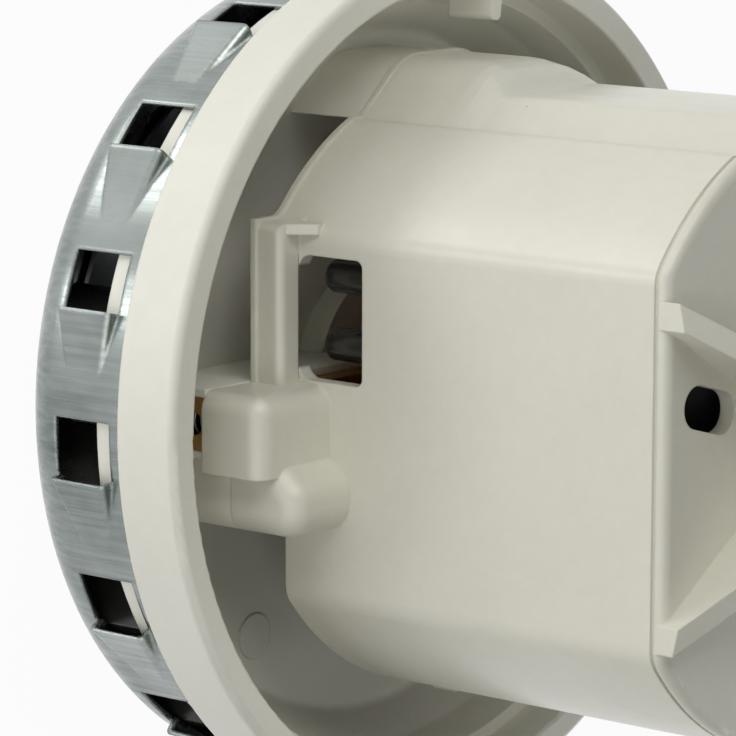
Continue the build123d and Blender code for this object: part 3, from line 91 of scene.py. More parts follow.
class ShaderTree:
    """One material and the few kinds of node that the finishes are made of."""

    def __init__(self, name: str) -> None:
        """Makes an empty material with a Principled shader in it.

        Args:
            name: Name of the material.
        """
        self.material = bpy.data.materials.new(name)
        self.material.use_nodes = True
        self.tree = self.material.node_tree
        self.tree.nodes.clear()
        output = self.tree.nodes.new("ShaderNodeOutputMaterial")
        self.shader = self.tree.nodes.new("ShaderNodeBsdfPrincipled")
        self.tree.links.new(self.shader.outputs[0], output.inputs["Surface"])
        self.places = self.tree.nodes.new("ShaderNodeTexCoord").outputs["Object"]

    def wire(self, value: object, socket: bpy.types.NodeSocket) -> None:
        """Links a socket into another one, or sets a plain value on it.

        Args:
            value: An output socket, a number or a colour.
            socket: The input that takes it.
        """
        if isinstance(value, bpy.types.NodeSocket):
            self.tree.links.new(value, socket)
        elif isinstance(value, tuple) and len(value) == 3 and socket.type == "RGBA":
            socket.default_value = (*value, 1.0)
        else:
            socket.default_value = value

    def node(self, kind: str, inputs: dict[Union[str, int], object],
             **settings: object) -> bpy.types.Node:
        """Adds a node.

        Args:
            kind: Blender's name of the node type.
            inputs: What goes into its sockets, by name or number.
            **settings: The node's own properties.

        Returns:
            The new node.
        """
        made = self.tree.nodes.new(kind)
        for name, value in settings.items():
            setattr(made, name, value)
        for key, value in inputs.items():
            self.wire(value, made.inputs[key])
        return made

    def stretched(self, lay: Lay) -> bpy.types.NodeSocket:
        """Places on the object, squeezed so that a pattern runs out along one axis.

        Args:
            lay: How the pattern runs.

        Returns:
            The socket with the squeezed places.
        """
        if lay is Lay.EVEN:
            return self.places
        return self.node("ShaderNodeMapping", {"Vector": self.places, "Scale": lay.value}).outputs[0]

    def noise(self, size: float, lay: Lay = Lay.EVEN, detail: float = 3.0,
              rough: float = 0.55) -> bpy.types.NodeSocket:
        """Cloudy pattern from 0 to 1.

        Args:
            size: Width of one cloud, in metres.
            lay: How the pattern runs.
            detail: How many finer layers it has.
            rough: How strong the finer layers are.

        Returns:
            The pattern's value.
        """
        inputs = {"Vector": self.stretched(lay), "Scale": 1.0 / size, "Detail": detail,
                  "Roughness": rough}
        return self.node("ShaderNodeTexNoise", inputs).outputs["Fac"]

    def specks(self, size: float, share: float) -> bpy.types.NodeSocket:
        """Sparse round specks: 1 on a speck and 0 elsewhere.

        Args:
            size: Distance between specks, in metres.
            share: Radius of a speck as a share of that distance.

        Returns:
            The specks' value.
        """
        cells = self.node("ShaderNodeTexVoronoi", {"Vector": self.places, "Scale": 1.0 / size})
        return self.fade(cells.outputs["Distance"], share, share * SPECK_CORE)

    def fade(self, value: object, low: float, high: float, bottom: float = 0.0,
             top: float = 1.0) -> bpy.types.NodeSocket:
        """Carries a value from one range to another.

        Args:
            value: The value that is carried over.
            low: Where it gives bottom.
            high: Where it gives top.
            bottom: Result at low.
            top: Result at high.

        Returns:
            The carried value, held between bottom and top.
        """
        inputs = {"Value": value, "From Min": low, "From Max": high,
                  "To Min": bottom, "To Max": top}
        return self.node("ShaderNodeMapRange", inputs, clamp=True).outputs[0]

    def blend(self, share: object, first: object, second: object) -> bpy.types.NodeSocket:
        """Mixes two colours.

        Args:
            share: How much of the second shows.
            first: The first colour.
            second: The second colour.

        Returns:
            The mixed colour.
        """
        made = self.tree.nodes.new("ShaderNodeMix")
        made.data_type = "RGBA"
        for value, name in ((share, "Factor_Float"), (first, "A_Color"), (second, "B_Color")):
            self.wire(value, next(s for s in made.inputs if s.identifier == name))
        return next(s for s in made.outputs if s.identifier == "Result_Color")

    def product(self, first: object, second: object) -> bpy.types.NodeSocket:
        """Multiplies two values."""
        return self.node("ShaderNodeMath", {0: first, 1: second}, operation="MULTIPLY").outputs[0]

    def total(self, first: object, second: object) -> bpy.types.NodeSocket:
        """Adds two values."""
        return self.node("ShaderNodeMath", {0: first, 1: second}, operation="ADD").outputs[0]

    def relief(self, height: object, depth: float,
               below: Optional[object] = None) -> bpy.types.NodeSocket:
        """Turns a height into a surface direction.

        Args:
            height: Pattern from 0 to 1.
            depth: How deep the pattern is, in metres.
            below: A direction that it is laid over.

        Returns:
            The surface direction.
        """
        inputs = {"Height": height, "Distance": depth, "Strength": 1.0}
        if below is not None:
            inputs["Normal"] = below
        return self.node("ShaderNodeBump", inputs).outputs[0]

    def softened_edges(self, radius: float) -> bpy.types.NodeSocket:
        """Surface direction with every sharp edge rounded off.

        Args:
            radius: The rounding, in metres.

        Returns:
            The surface direction.
        """
        return self.node("ShaderNodeBevel", {"Radius": radius}, samples=EDGE_SAMPLES).outputs[0]

    def set(self, **inputs: object) -> None:
        """Sets the Principled shader's sockets, with an underscore for each space in a name."""
        for name, value in inputs.items():
            self.wire(value, self.shader.inputs[name.replace("_", " ")])


@dataclass(frozen=True)
class Plastic:
    """Moulded plastic with a fine-grained skin, faint clouds, pale scuffs and a few dark specks.

    Args:
        name: Name of the finish.
        colour: Main colour.
        cloud: Colour of the faint clouds.
        roughness: How dull the skin is.
        grain_depth: Depth of the skin's grain, in metres.
        speck: How dark the specks are, from 0 to 1.
        edge: Rounding of sharp edges, in metres.
        speck_colour: Colour of the specks.
        cloud_size: Width of a faint cloud, in metres.
        cloud_range: Where the clouds begin and are full.
        cloud_share: How much the clouds tint the colour.
        mottle_size: Width of the finer mottling, in metres.
        mottle_range: Where the mottling begins and is full.
        mottle_share: How much the mottling tints the colour.
        speck_gap: Distance between the places of two specks, in metres.
        speck_radius: Radius of a speck as a share of that distance.
        speck_field: Width of an area that has specks, in metres.
        speck_range: Where such an area begins and is full.
        grain_size: Width of the skin's grain, in metres.
        scuff_size: Width of a scuff, in metres.
        scuff_range: Where a scuff begins and is full.
        scuff_share: How much duller a scuff is.
        rough_spread: How far the roughness goes below and above its middle.
        wave_size: Width of the skin's slow waves, in metres.
        wave_depth: Depth of these waves, in depths of the grain.
        index: Refractive index.
    """

    name: str
    colour: Colour
    cloud: Colour
    roughness: float = 0.42
    grain_depth: float = 0.000012
    speck: float = 0.0
    edge: float = 0.0004
    speck_colour: Colour = (0.16, 0.13, 0.10)
    cloud_size: float = 28 * MM
    cloud_range: Span = (0.35, 0.68)
    cloud_share: float = 0.65
    mottle_size: float = 2.2 * MM
    mottle_range: Span = (0.3, 0.7)
    mottle_share: float = 0.35
    speck_gap: float = 7.5 * MM
    speck_radius: float = 0.022
    speck_field: float = 19 * MM
    speck_range: Span = (0.5, 0.56)
    grain_size: float = 0.42 * MM
    scuff_size: float = 5 * MM
    scuff_range: Span = (0.6, 0.78)
    scuff_share: float = 0.10
    rough_spread: Span = (0.03, 0.05)
    wave_size: float = 9 * MM
    wave_depth: float = 5.0
    index: float = 1.5

    def material(self) -> bpy.types.Material:
        """Builds the finish.

        Returns:
            The finished material.
        """
        made = ShaderTree(self.name)
        clouds = made.fade(made.noise(self.cloud_size, detail=4.0), *self.cloud_range)
        mottle = made.fade(made.noise(self.mottle_size, detail=2.0), *self.mottle_range,
                           top=self.mottle_share)
        tint = made.total(made.product(clouds, self.cloud_share), mottle)
        colour = made.blend(tint, self.colour, self.cloud)
        if self.speck:
            field = made.fade(made.noise(self.speck_field), *self.speck_range)
            dots = made.product(made.specks(self.speck_gap, self.speck_radius), field)
            colour = made.blend(made.product(dots, self.speck), colour, self.speck_colour)
        skin = made.noise(self.grain_size, detail=2.0)
        scuffs = made.fade(made.noise(self.scuff_size, Lay.ALONG_AXIS, detail=5.0, rough=0.7),
                           *self.scuff_range)
        below, above = self.rough_spread
        rough = made.total(made.fade(clouds, 0.0, 1.0, self.roughness - below, self.roughness + above),
                           made.product(scuffs, self.scuff_share))
        bump = made.relief(skin, self.grain_depth, made.softened_edges(self.edge))
        waves = made.noise(self.wave_size, detail=1.0)
        bump = made.relief(waves, self.grain_depth * self.wave_depth, bump)
        made.set(Base_Color=colour, Roughness=rough, Normal=bump, IOR=self.index)
        return made.material


@dataclass(frozen=True)
class Metal:
    """Bare metal with drawn or turned marks, clouded tone and a little handling wear.

    Args:
        name: Name of the finish.
        colour: Main colour.
        shade: Colour of its darker clouds.
        roughness: How dull it is.
        lay: How its marks run.
        mark: Width of one mark, in metres.
        depth: Depth of the marks, in metres.
        edge: Rounding of sharp edges, in metres.
        cloud: Width of a cloud, in metres.
        cloud_range: Where the clouds begin and are full.
        cloud_share: How much the clouds darken the colour.
        mark_range: Where the marks begin to darken the colour and do so fully.
        mark_share: How much the marks darken the colour.
        wear_range: Where the marks begin to dull the metal and do so fully.
        rough_spread: How far the roughness goes below and above its middle.
        cloud_dullness: How much duller a cloud is.
    """

    name: str
    colour: Colour
    shade: Colour
    roughness: float = 0.3
    lay: Lay = Lay.EVEN
    mark: float = 0.0005
    depth: float = 0.000006
    edge: float = 0.0002
    cloud: float = 0.012
    cloud_range: Span = (0.32, 0.7)
    cloud_share: float = 0.6
    mark_range: Span = (0.35, 0.75)
    mark_share: float = 0.4
    wear_range: Span = (0.3, 0.75)
    rough_spread: Span = (0.06, 0.08)
    cloud_dullness: float = 0.05

    def material(self) -> bpy.types.Material:
        """Builds the finish.

        Returns:
            The finished material.
        """
        made = ShaderTree(self.name)
        clouds = made.fade(made.noise(self.cloud, detail=4.0), *self.cloud_range)
        marks = made.noise(self.mark, self.lay, detail=4.0, rough=0.6)
        tone = made.total(made.product(clouds, self.cloud_share),
                          made.fade(marks, *self.mark_range, top=self.mark_share))
        colour = made.blend(tone, self.colour, self.shade)
        below, above = self.rough_spread
        wear = made.fade(marks, *self.wear_range, self.roughness - below, self.roughness + above)
        rough = made.total(wear, made.fade(clouds, 0.0, 1.0, top=self.cloud_dullness))
        bump = made.relief(marks, self.depth, made.softened_edges(self.edge))
        made.set(Base_Color=colour, Metallic=1.0, Roughness=rough, Normal=bump)
        return made.material


@dataclass(frozen=True)
class Stack:
    """Edges of stamped sheets lying on each other, with the dull coat that keeps them from rust.

    Args:
        name: Name of the finish.
        colour: Colour of a sheet's edge.
        gap: Colour of the line between two sheets.
        sheet: Thickness of a sheet, in metres.
        line_range: Where the line between two sheets begins and is full.
        line_share: How much the line darkens the colour.
        line_depth: Depth of the line, in metres.
        cloud_size: Width of a cloud, in metres.
        cloud_range: Where the clouds begin to dull the coat and do so fully.
        rough_range: Roughness outside and inside the clouds.
        metallic: How much of the metal the coat lets through.
    """

    name: str
    colour: Colour
    gap: Colour
    sheet: float = 0.0005
    line_range: Span = (0.55, 0.95)
    line_share: float = 0.8
    line_depth: float = 0.00004
    cloud_size: float = 4 * MM
    cloud_range: Span = (0.3, 0.7)
    rough_range: Span = (0.42, 0.6)
    metallic: float = 0.75

    def material(self) -> bpy.types.Material:
        """Builds the finish.

        Returns:
            The finished material.
        """
        made = ShaderTree(self.name)
        height = made.node("ShaderNodeSeparateXYZ", {0: made.places}).outputs["Z"]
        turns = made.product(height, math.tau / self.sheet)
        wave = made.node("ShaderNodeMath", {0: turns}, operation="SINE").outputs[0]
        line = made.fade(wave, *self.line_range)
        clouds = made.noise(self.cloud_size, detail=4.0)
        coat = made.blend(clouds, self.colour, self.gap)
        colour = made.blend(made.product(line, self.line_share), coat, self.gap)
        bump = made.relief(made.fade(line, 0.0, 1.0, 1.0, 0.0), self.line_depth)
        rough = made.fade(clouds, *self.cloud_range, *self.rough_range)
        made.set(Base_Color=colour, Metallic=self.metallic, Roughness=rough, Normal=bump)
        return made.material


@dataclass(frozen=True)
class Wire:
    """Copper wire under clear brown enamel.

    Args:
        name: Name of the finish.
        colour: Colour of the enamelled wire.
        shade: Colour where the enamel lies thicker.
        cloud_size: Width of a thicker patch, in metres.
        cloud_range: Where such a patch begins and is full.
        rough_range: Roughness outside and inside such a patch.
        grain_size: Width of the enamel's grain, in metres.
        grain_depth: Depth of that grain, in metres.
        metallic: How much of the copper shows through.
        coat: How much clear coat there is.
        coat_roughness: How dull that coat is.
    """

    name: str
    colour: Colour
    shade: Colour
    cloud_size: float = 3 * MM
    cloud_range: Span = (0.3, 0.7)
    rough_range: Span = (0.24, 0.36)
    grain_size: float = 0.6 * MM
    grain_depth: float = 0.00001
    metallic: float = 0.6
    coat: float = 0.6
    coat_roughness: float = 0.12

    def material(self) -> bpy.types.Material:
        """Builds the finish.

        Returns:
            The finished material.
        """
        made = ShaderTree(self.name)
        clouds = made.fade(made.noise(self.cloud_size, detail=4.0), *self.cloud_range)
        colour = made.blend(clouds, self.colour, self.shade)
        rough = made.fade(clouds, 0.0, 1.0, *self.rough_range)
        bump = made.relief(made.noise(self.grain_size), self.grain_depth)
        made.set(Base_Color=colour, Metallic=self.metallic, Roughness=rough, Normal=bump,
                 Coat_Weight=self.coat, Coat_Roughness=self.coat_roughness)
        return made.material


@dataclass(frozen=True)
class Grains:
    """Pressed or filled dull stuff with its grains showing, such as carbon, rubber and resin.

    Args:
        name: Name of the finish.
        colour: Main colour.
        grain: Colour of the grains.
        size: Distance between grains, in metres.
        roughness: How dull it is.
        grain_range: Where a grain begins and is full.
        depth: Height of a grain, in metres.
        edge: Rounding of sharp edges, in metres.
        shine: How much less dull a grain is.
    """

    name: str
    colour: Colour
    grain: Colour
    size: float = 0.0006
    roughness: float = 0.6
    grain_range: Span = (0.45, 0.75)
    depth: float = 0.00003
    edge: float = 0.0003
    shine: float = 0.15

    def material(self) -> bpy.types.Material:
        """Builds the finish.

        Returns:
            The finished material.
        """
        made = ShaderTree(self.name)
        grains = made.fade(made.noise(self.size, detail=4.0, rough=0.7), *self.grain_range)
        colour = made.blend(grains, self.colour, self.grain)
        bump = made.relief(grains, self.depth, made.softened_edges(self.edge))
        rough = made.fade(grains, 0.0, 1.0, self.roughness, self.roughness - self.shine)
        made.set(Base_Color=colour, Roughness=rough, Normal=bump)
        return made.material


Finish = Union[Plastic, Metal, Stack, Wire, Grains]

FINISHES: dict[str, Finish] = {
    "cream": Plastic("cream_moulding", (0.72, 0.71, 0.62), (0.67, 0.657, 0.56), roughness=0.31,
                     speck=0.75),
    # Flange: a lighter copy of the hood's cream; the extra lightness is painted light for its rim,
    # which faces the lamps.
    "painted_light_cream": Plastic("flange_moulding_painted_light", (0.80, 0.795, 0.72), (0.755, 0.745, 0.66),
                         roughness=0.4, speck=0.75),
    "black": Plastic("black_moulding", (0.018, 0.018, 0.017), (0.03, 0.029, 0.027),
                     roughness=0.14, grain_depth=0.000006),
    "grey": Plastic("grey_moulding", (0.16, 0.16, 0.165), (0.12, 0.12, 0.125), roughness=0.45),
    "zinc": Metal("galvanised_sheet", (0.36, 0.395, 0.38), (0.13, 0.15, 0.142), roughness=0.22,
                  lay=Lay.ALONG_AXIS, mark=0.0009, depth=0.00001, edge=0.0009, cloud=0.02),
    "steel": Metal("turned_steel", (0.50, 0.50, 0.50), (0.38, 0.38, 0.385), roughness=0.28,
                   lay=Lay.ACROSS_AXIS, mark=0.0002),
    "bearing": Metal("ground_steel", (0.60, 0.60, 0.61), (0.50, 0.50, 0.52), roughness=0.14,
                     lay=Lay.ACROSS_AXIS, mark=0.0001, depth=0.000002),
    "brass": Metal("drawn_brass", (0.62, 0.40, 0.16), (0.36, 0.20, 0.07), roughness=0.3,
                   mark=0.0004),
    "copper": Metal("turned_copper", (0.70, 0.33, 0.18), (0.42, 0.18, 0.09), roughness=0.26,
                    lay=Lay.ACROSS_AXIS, mark=0.0002),
    "aluminium": Metal("rolled_aluminium", (0.66, 0.67, 0.68), (0.54, 0.55, 0.56),
                       roughness=0.3, mark=0.0004),
    "stack": Stack("core_sheets", (0.16, 0.16, 0.165), (0.045, 0.045, 0.05)),
    "wire": Wire("enamelled_wire", (0.42, 0.13, 0.04), (0.20, 0.055, 0.018)),
    "carbon": Grains("brush_carbon", (0.022, 0.022, 0.023), (0.07, 0.07, 0.072), roughness=0.55),
    "resin": Grains("moulded_resin", (0.055, 0.024, 0.013), (0.10, 0.05, 0.03), size=0.0012,
                    roughness=0.4),
    "rubber": Grains("boot_rubber", (0.018, 0.018, 0.018), (0.035, 0.035, 0.034), roughness=0.75),
}

NODE_FINISHES: dict[str, tuple[str, ...]] = {
    "cream": ("motor_hood",),
    # The flange takes the lighter copy of the cream, whose extra lightness is painted light.
    "painted_light_cream": ("flange_housing",),
    "black": ("coil_frame_lower", "coil_frame_upper", "diffuser"),
    "grey": ("cooling_fan",),
    "zinc": ("fan_cover", "bearing_retainer", "fan_washer", "fan_nut"),
    "steel": ("retainer_screws", "hood_screws", "stator_screws", "shaft", "fan_spacer",
              "wave_washer", "brush_spring_front", "brush_spring_back"),
    "bearing": ("lower_bearing_outer", "lower_bearing_inner", "lower_bearing_balls",
                "upper_bearing_outer", "upper_bearing_inner", "upper_bearing_balls"),
    "brass": ("terminal_left", "terminal_right", "brush_tube_front", "brush_tube_back",
              "brush_cap_front", "brush_cap_back"),
    "copper": ("commutator",),
    "aluminium": ("fan_back_disc", "fan_front_disc", "fan_vanes"),
    "stack": ("stator_core", "armature_core"),
    "wire": ("field_coil_right", "field_coil_left", "armature_winding"),
    "carbon": ("brush_front", "brush_back"),
    "resin": ("commutator_hub", "shaft_liner", "armature_end_discs"),
    "rubber": ("bearing_boot",),
}


@dataclass(frozen=True)
class Lamp:
    """A soft box of the studio.

    Args:
        name: Name of the lamp.
        direction: Where it stands, seen from the object.
        size: Width and height, in metres.
        power: Its power, in watts.
        distance: How far off it is, in metres.
        colour: Its colour.
    """

    name: str
    direction: Point
    size: Span
    power: float
    distance: float = 1.1
    colour: Colour = (1.0, 0.995, 0.98)

    def build(self, aim: Vector) -> None:
        """Puts the lamp into the scene.

        Args:
            aim: The point that it shines on.
        """
        data = bpy.data.lights.new(self.name, "AREA")
        data.shape = "RECTANGLE"
        data.size, data.size_y = self.size
        data.energy = self.power
        data.color = self.colour
        lamp = bpy.data.objects.new(self.name, data)
        way = Vector(self.direction).normalized()
        lamp.location = aim + way * self.distance
        lamp.rotation_euler = way.to_track_quat("Z", "Y").to_euler()
        lamp.visible_camera = False
        bpy.context.scene.collection.objects.link(lamp)
        log.info("lamp %s", self.name)


@dataclass(frozen=True)
class Studio:
    """Camera, lamps, world and floor.

    Args:
        camera_place: Where the camera stands, in metres.
        camera_turn: Its turn about X, Y and Z, in degrees.
        lens: Focal length, in millimetres.
        sensor: Width of the sensor, in millimetres.
        sight: Nearest and farthest distance that the camera sees, in metres.
        ambient: How bright the surroundings light the object.
        aim: The point that the lamps shine on.
        floor_reach: Half the floor's width, in metres.
        floor_gap: How far under the object the floor lies, in metres.
        floor_colour: Colour of the floor under its glow.
        floor_glow: Share of white glow that the camera sees on the floor, over its shadow.
        floor_light: Share of that glow that lights the object from below.
        lamps: The soft boxes.
    """

    camera_place: Point = (-0.116067, -0.520473, 0.452071)
    camera_turn: Point = (-9.8194, -50.0393, 90.1881)
    lens: float = 214.771
    sensor: float = 36.0
    sight: Span = (0.02, 20.0)
    ambient: float = 0.015
    aim: Point = (0.0, 0.0, 0.055)
    floor_reach: float = 6.0
    floor_gap: float = 0.0003
    floor_colour: Colour = (0.86, 0.86, 0.86)
    floor_glow: float = 0.95
    floor_light: float = 0.60
    lamps: tuple[Lamp, ...] = (
        Lamp("low_box", (-0.66, -0.36, -0.66), (0.35, 0.35), 1.5),
        Lamp("band_box", (-0.27, -0.71, -0.63), (0.12, 0.5), 1.0),
        Lamp("front_box", (0.05, -0.98, 0.22), (0.6, 0.6), 1.5),
        Lamp("top_box", (0.05, 0.1, 0.98), (0.8, 0.8), 0.6),
        Lamp("upper_box", (0.3, -0.75, 0.6), (0.7, 0.7), 2.2),
        Lamp("side_box", (-0.82, -0.28, 0.50), (0.7, 0.7), 4.0),
        Lamp("corner_box", (-0.7, -0.6, 0.35), (0.25, 0.9), 1.4),
        Lamp("back_box", (0.5, 0.85, 0.2), (1.0, 1.0), 4.0, distance=1.3),
    )

    def build(self) -> None:
        """Sets up the whole studio."""
        self.build_camera()
        for lamp in self.lamps:
            lamp.build(Vector(self.aim))
        self.build_world()
        self.build_floor()
        bpy.context.scene.view_settings.view_transform = "Standard"

    def build_camera(self) -> None:
        """Puts the camera where the photograph was taken from."""
        data = bpy.data.cameras.new("camera")
        data.lens = self.lens
        data.sensor_width = self.sensor
        data.clip_start, data.clip_end = self.sight
        camera = bpy.data.objects.new("camera", data)
        camera.location = self.camera_place
        camera.rotation_euler = [math.radians(angle) for angle in self.camera_turn]
        bpy.context.scene.collection.objects.link(camera)
        bpy.context.scene.camera = camera
        log.info("camera at %s", self.camera_place)

    @staticmethod
    def seen_rays(tree: bpy.types.NodeTree) -> bpy.types.NodeSocket:
        """Where a surface or the world is looked at, in a mirror or through glass too.

        Args:
            tree: The node tree that needs it.

        Returns:
            A value that is 1 for such rays and 0 for those that carry light.
        """
        path = tree.nodes.new("ShaderNodeLightPath")
        value = path.outputs["Is Camera Ray"]
        for name in ("Is Glossy Ray", "Is Transmission Ray"):
            highest = tree.nodes.new("ShaderNodeMath")
            highest.operation = "MAXIMUM"
            tree.links.new(value, highest.inputs[0])
            tree.links.new(path.outputs[name], highest.inputs[1])
            value = highest.outputs[0]
        return value

    def build_world(self) -> None:
        """White surroundings that light the object at a plain level."""
        world = bpy.data.worlds.new("studio")
        bpy.context.scene.world = world
        world.use_nodes = True
        tree = world.node_tree
        tree.nodes.clear()
        light = tree.nodes.new("ShaderNodeBackground")
        light.inputs["Strength"].default_value = self.ambient
        seen = tree.nodes.new("ShaderNodeBackground")
        mix = tree.nodes.new("ShaderNodeMixShader")
        output = tree.nodes.new("ShaderNodeOutputWorld")
        for background in (light, seen):
            background.inputs["Color"].default_value = WHITE
        tree.links.new(self.seen_rays(tree), mix.inputs[0])
        tree.links.new(light.outputs[0], mix.inputs[1])
        tree.links.new(seen.outputs[0], mix.inputs[2])
        tree.links.new(mix.outputs[0], output.inputs["Surface"])

    def build_floor(self) -> None:
        """Pale floor under the fan cover, which keeps a light shadow."""
        reach = self.floor_reach
        mesh = bpy.data.meshes.new("floor")
        corners = [(-reach, -reach, 0.0), (reach, -reach, 0.0),
                   (reach, reach, 0.0), (-reach, reach, 0.0)]
        mesh.from_pydata(corners, [], [(0, 1, 2, 3)])
        floor = bpy.data.objects.new("floor", mesh)
        floor.location.z = -self.floor_gap
        floor.visible_shadow = False
        floor.visible_glossy = False
        bpy.context.scene.collection.objects.link(floor)
        material = bpy.data.materials.new("studio_floor")
        material.use_nodes = True
        tree = material.node_tree
        tree.nodes.clear()
        matt = tree.nodes.new("ShaderNodeBsdfDiffuse")
        matt.inputs["Color"].default_value = (*self.floor_colour, 1.0)
        glow = tree.nodes.new("ShaderNodeEmission")
        share = tree.nodes.new("ShaderNodeMapRange")
        share.inputs["To Min"].default_value = self.floor_light
        share.inputs["To Max"].default_value = self.floor_glow
        mix = tree.nodes.new("ShaderNodeMixShader")
        output = tree.nodes.new("ShaderNodeOutputMaterial")
        tree.links.new(self.seen_rays(tree), share.inputs[0])
        tree.links.new(share.outputs[0], mix.inputs[0])
        tree.links.new(matt.outputs[0], mix.inputs[1])
        tree.links.new(glow.outputs[0], mix.inputs[2])
        tree.links.new(mix.outputs[0], output.inputs["Surface"])
        mesh.materials.append(material)


def new_curve(name: str, lines: Sequence[Sequence[Vector]], radius: float, cyclic: bool,
              material: bpy.types.Material) -> bpy.types.Object:
    """Makes round wire along one or more lines.

    Args:
        name: Name of the piece.
        lines: The points of each line, in metres.
        radius: Radius of the wire, in metres.
        cyclic: Whether each line closes on itself.
        material: Its finish.

    Returns:
        The new piece as a mesh.
    """
    data = bpy.data.curves.new(name, "CURVE")
    data.dimensions = "3D"
    data.bevel_depth = radius
    data.bevel_resolution = WIRE_FACETS
    data.use_fill_caps = not cyclic
    for line in lines:
        spline = data.splines.new("POLY")
        spline.points.add(len(line) - 1)
        for point, place in zip(spline.points, line):
            point.co = (*place, 1.0)
        spline.use_cyclic_u = cyclic
        spline.use_smooth = True
    holder = bpy.data.objects.new(name + "_line", data)
    bpy.context.scene.collection.objects.link(holder)
    bpy.context.view_layer.update()
    ready = holder.evaluated_get(bpy.context.evaluated_depsgraph_get())
    mesh = bpy.data.meshes.new_from_object(ready)
    bpy.data.objects.remove(holder)
    mesh.name = name
    mesh.materials.clear()
    mesh.materials.append(material)
    mesh.shade_smooth()
    piece = bpy.data.objects.new(name, mesh)
    bpy.context.scene.collection.objects.link(piece)
    return piece


@dataclass(frozen=True)
class FieldCoil:
    """Saddle coil of enamelled wire round one stator pole.

    Args:
        name: Name of the piece.
        node: CAD node that it stands for.
        side: Which pole it sits on.
        material: Its finish.
        wire_radius: Radius of the wire, in metres.
        inner_radius: Radius of the bore side, in metres.
        outer_radius: Radius of the far side, in metres.
        window_angle: Half the pole's width, as an angle at the axis.
        outer_angle: Half the coil's width, as an angle at the axis.
        window_low: Lower end of the pole, in metres.
        window_high: Upper end of the pole, in metres.
        overhang: How far the coil goes past the pole's ends, in metres.
        layers: How many wires lie between bore side and far side.
        rows: How many wires lie between the pole and the coil's outline.
        steps: How many pieces each round corner has.
        slack: Distance of a wire from the coil's outline, in wire radii.
        corner_inner: Radius of the innermost turn's corners, in metres.
        corner_growth: How much larger the outermost turn's corners are, in metres.
        segment: Least length of the pieces that a run round the axis is cut into, in metres.
        swell: Radius with the enamel, as a factor of the wire's radius.
    """

    name: str
    node: str
    side: Side
    material: bpy.types.Material
    wire_radius: float = 0.42 * MM
    inner_radius: float = 21.85 * MM
    outer_radius: float = 28.05 * MM
    window_angle: float = math.radians(58.0)
    outer_angle: float = math.radians(81.0)
    window_low: float = 45.45 * MM
    window_high: float = 83.55 * MM
    overhang: float = 5.95 * MM
    layers: int = 7
    rows: int = 7
    steps: int = 12
    slack: float = 1.3
    corner_inner: float = 1.5 * MM
    corner_growth: float = 4.5 * MM
    segment: float = 2.5 * MM
    swell: float = 1.08

    def turn(self, layer: int, row: int) -> list[Vector]:
        """One turn of the wire.

        Args:
            layer: Its place from the bore outwards.
            row: Its place from the pole outwards.

        Returns:
            The points of the closed turn.
        """
        margin = self.wire_radius * self.slack
        depth = self.outer_radius - self.inner_radius - 2 * margin
        radius = self.inner_radius + margin + depth * layer / (self.layers - 1)
        share = row / (self.rows - 1)
        angle_margin = margin / radius
        angle_span = self.outer_angle - self.window_angle - 2 * angle_margin
        half_width = radius * (self.window_angle + angle_margin + angle_span * share)
        out = margin + (self.overhang - 2 * margin) * share
        low, high = self.window_low - out, self.window_high + out
        corner = self.corner_inner + self.corner_growth * share
        points = []
        for centre_u, centre_z, start in ((half_width - corner, high - corner, 0.0),
                                          (corner - half_width, high - corner, 0.5),
                                          (corner - half_width, low + corner, 1.0),
                                          (half_width - corner, low + corner, 1.5)):
            for step in range(self.steps + 1):
                turned = math.pi * (start + 0.5 * step / self.steps)
                points.append((centre_u + corner * math.cos(turned),
                               centre_z + corner * math.sin(turned)))
        filled = []
        for first, second in zip(points, points[1:] + points[:1]):
            filled.append(first)
            gaps = int(abs(second[0] - first[0]) / self.segment)
            for gap in range(1, gaps):
                filled.append((first[0] + (second[0] - first[0]) * gap / gaps,
                               first[1] + (second[1] - first[1]) * gap / gaps))
        around = [Vector((radius * math.cos(u / radius), radius * math.sin(u / radius), z))
                  for u, z in filled]
        return [spin_point(point, self.side) for point in around]

    def build(self, body: str) -> None:
        """Winds the coil and puts it in its solid's place.

        Args:
            body: The CAD body that it rides on.
        """
        turns = [self.turn(layer, row) for layer in range(self.layers) for row in range(self.rows)
                 if layer in (0, self.layers - 1) or row in (0, self.rows - 1)]
        piece = new_curve(self.name, turns, self.wire_radius * self.swell, True, self.material)
        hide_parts(self.node)
        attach(piece, body)
        log.info("coil %s with %d turns", self.name, len(turns))


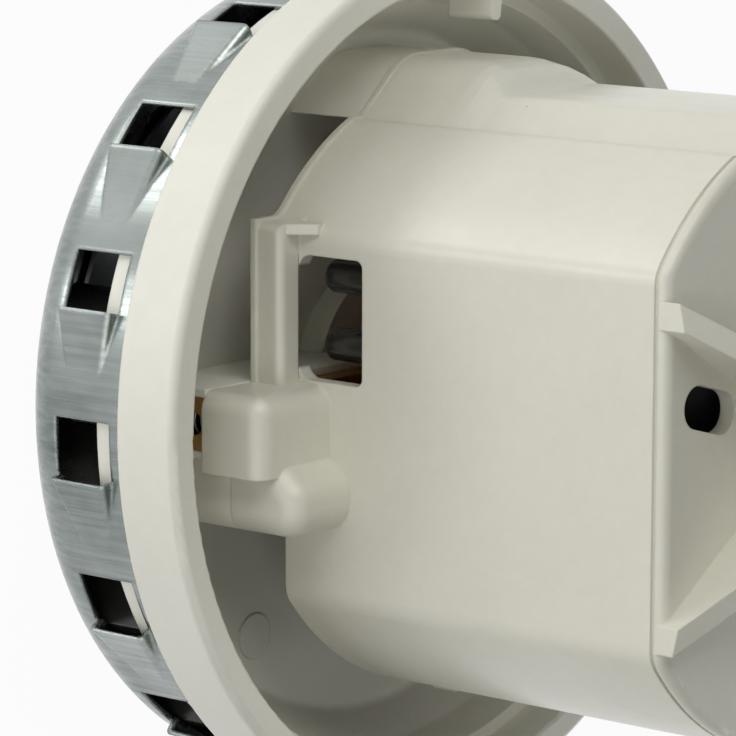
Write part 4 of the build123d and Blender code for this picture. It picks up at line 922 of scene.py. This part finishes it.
@dataclass(frozen=True)
class BrushSpring:
    """Compression spring between a brush and its tube's end plate.

    Args:
        name: Name of the piece.
        node: CAD node that it stands for.
        side: Which brush it presses.
        moving_body: The brush's CAD body. Not used.
        material: Its finish.
        wire_radius: Radius of the wire, in metres.
        coil_radius: Radius of the coil, in metres.
        near_y: Y of the end at the brush, on the front spring, in metres.
        far_y: Y of the end at the end plate, on the front spring, in metres.
        level: Height of the spring's middle line, in metres.
        coils: How many turns it has.
        steps: How many pieces each turn has.
    """

    name: str
    node: str
    side: Side
    moving_body: str
    material: bpy.types.Material
    wire_radius: float = 0.22 * MM
    coil_radius: float = 2.3 * MM
    near_y: float = -33.58 * MM
    far_y: float = -51.3 * MM
    level: float = 26.7 * MM
    coils: int = 13
    steps: int = 20

    def build(self, body: str) -> None:
        """Winds the spring.

        Args:
            body: The CAD body that carries the end plate. Not used.
        """
        start, end = self.near_y - self.wire_radius, self.far_y + self.wire_radius
        count = self.coils * self.steps
        points = []
        for step in range(count + 1):
            angle = math.tau * step / self.steps
            place = Vector((self.coil_radius * math.cos(angle),
                            start + (end - start) * step / count,
                            self.level + self.coil_radius * math.sin(angle)))
            points.append(spin_point(place, self.side))
        piece = new_curve(self.name, [points], self.wire_radius, False, self.material)
        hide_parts(self.node)
        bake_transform(piece)
        log.info("spring %s", self.name)


class MotorUnit:
    """The whole unit: the frame's nodes in their finishes, and pieces that stand for some."""

    ROOT = "motor_frame"

    def __init__(self) -> None:
        """Makes the finishes once, for every piece that shares them."""
        self.materials = {name: finish.material() for name, finish in FINISHES.items()}

    def dress_nodes(self) -> None:
        """Gives every node of the frame its finish."""
        for finish, names in NODE_FINISHES.items():
            for name in names:
                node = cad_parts[name]
                for slot in node.material_slots:
                    slot.material = self.materials[finish]
                log.info("node %s in %s", name, finish)

    def build_coils(self) -> None:
        """Winds both field coils."""
        wire = self.materials["wire"]
        FieldCoil("field_winding_right", "field_coil_right", Side.FRONT, wire).build(self.ROOT)
        FieldCoil("field_winding_left", "field_coil_left", Side.BACK, wire).build(self.ROOT)

    def build_springs(self) -> None:
        """Winds both brush springs."""
        steel = self.materials["steel"]
        front = BrushSpring("spring_coil_front", "brush_spring_front", Side.FRONT,
                            "brush_front_body", steel)
        back = BrushSpring("spring_coil_back", "brush_spring_back", Side.BACK,
                           "brush_back_body", steel)
        for spring in (front, back):
            spring.build(self.ROOT)


def main() -> None:
    """Builds the unit and the studio."""
    logging.basicConfig(level=logging.INFO)
    unit = MotorUnit()
    unit.dress_nodes()
    unit.build_coils()
    unit.build_springs()
    Studio().build()


if __name__ == "__main__":
    main()
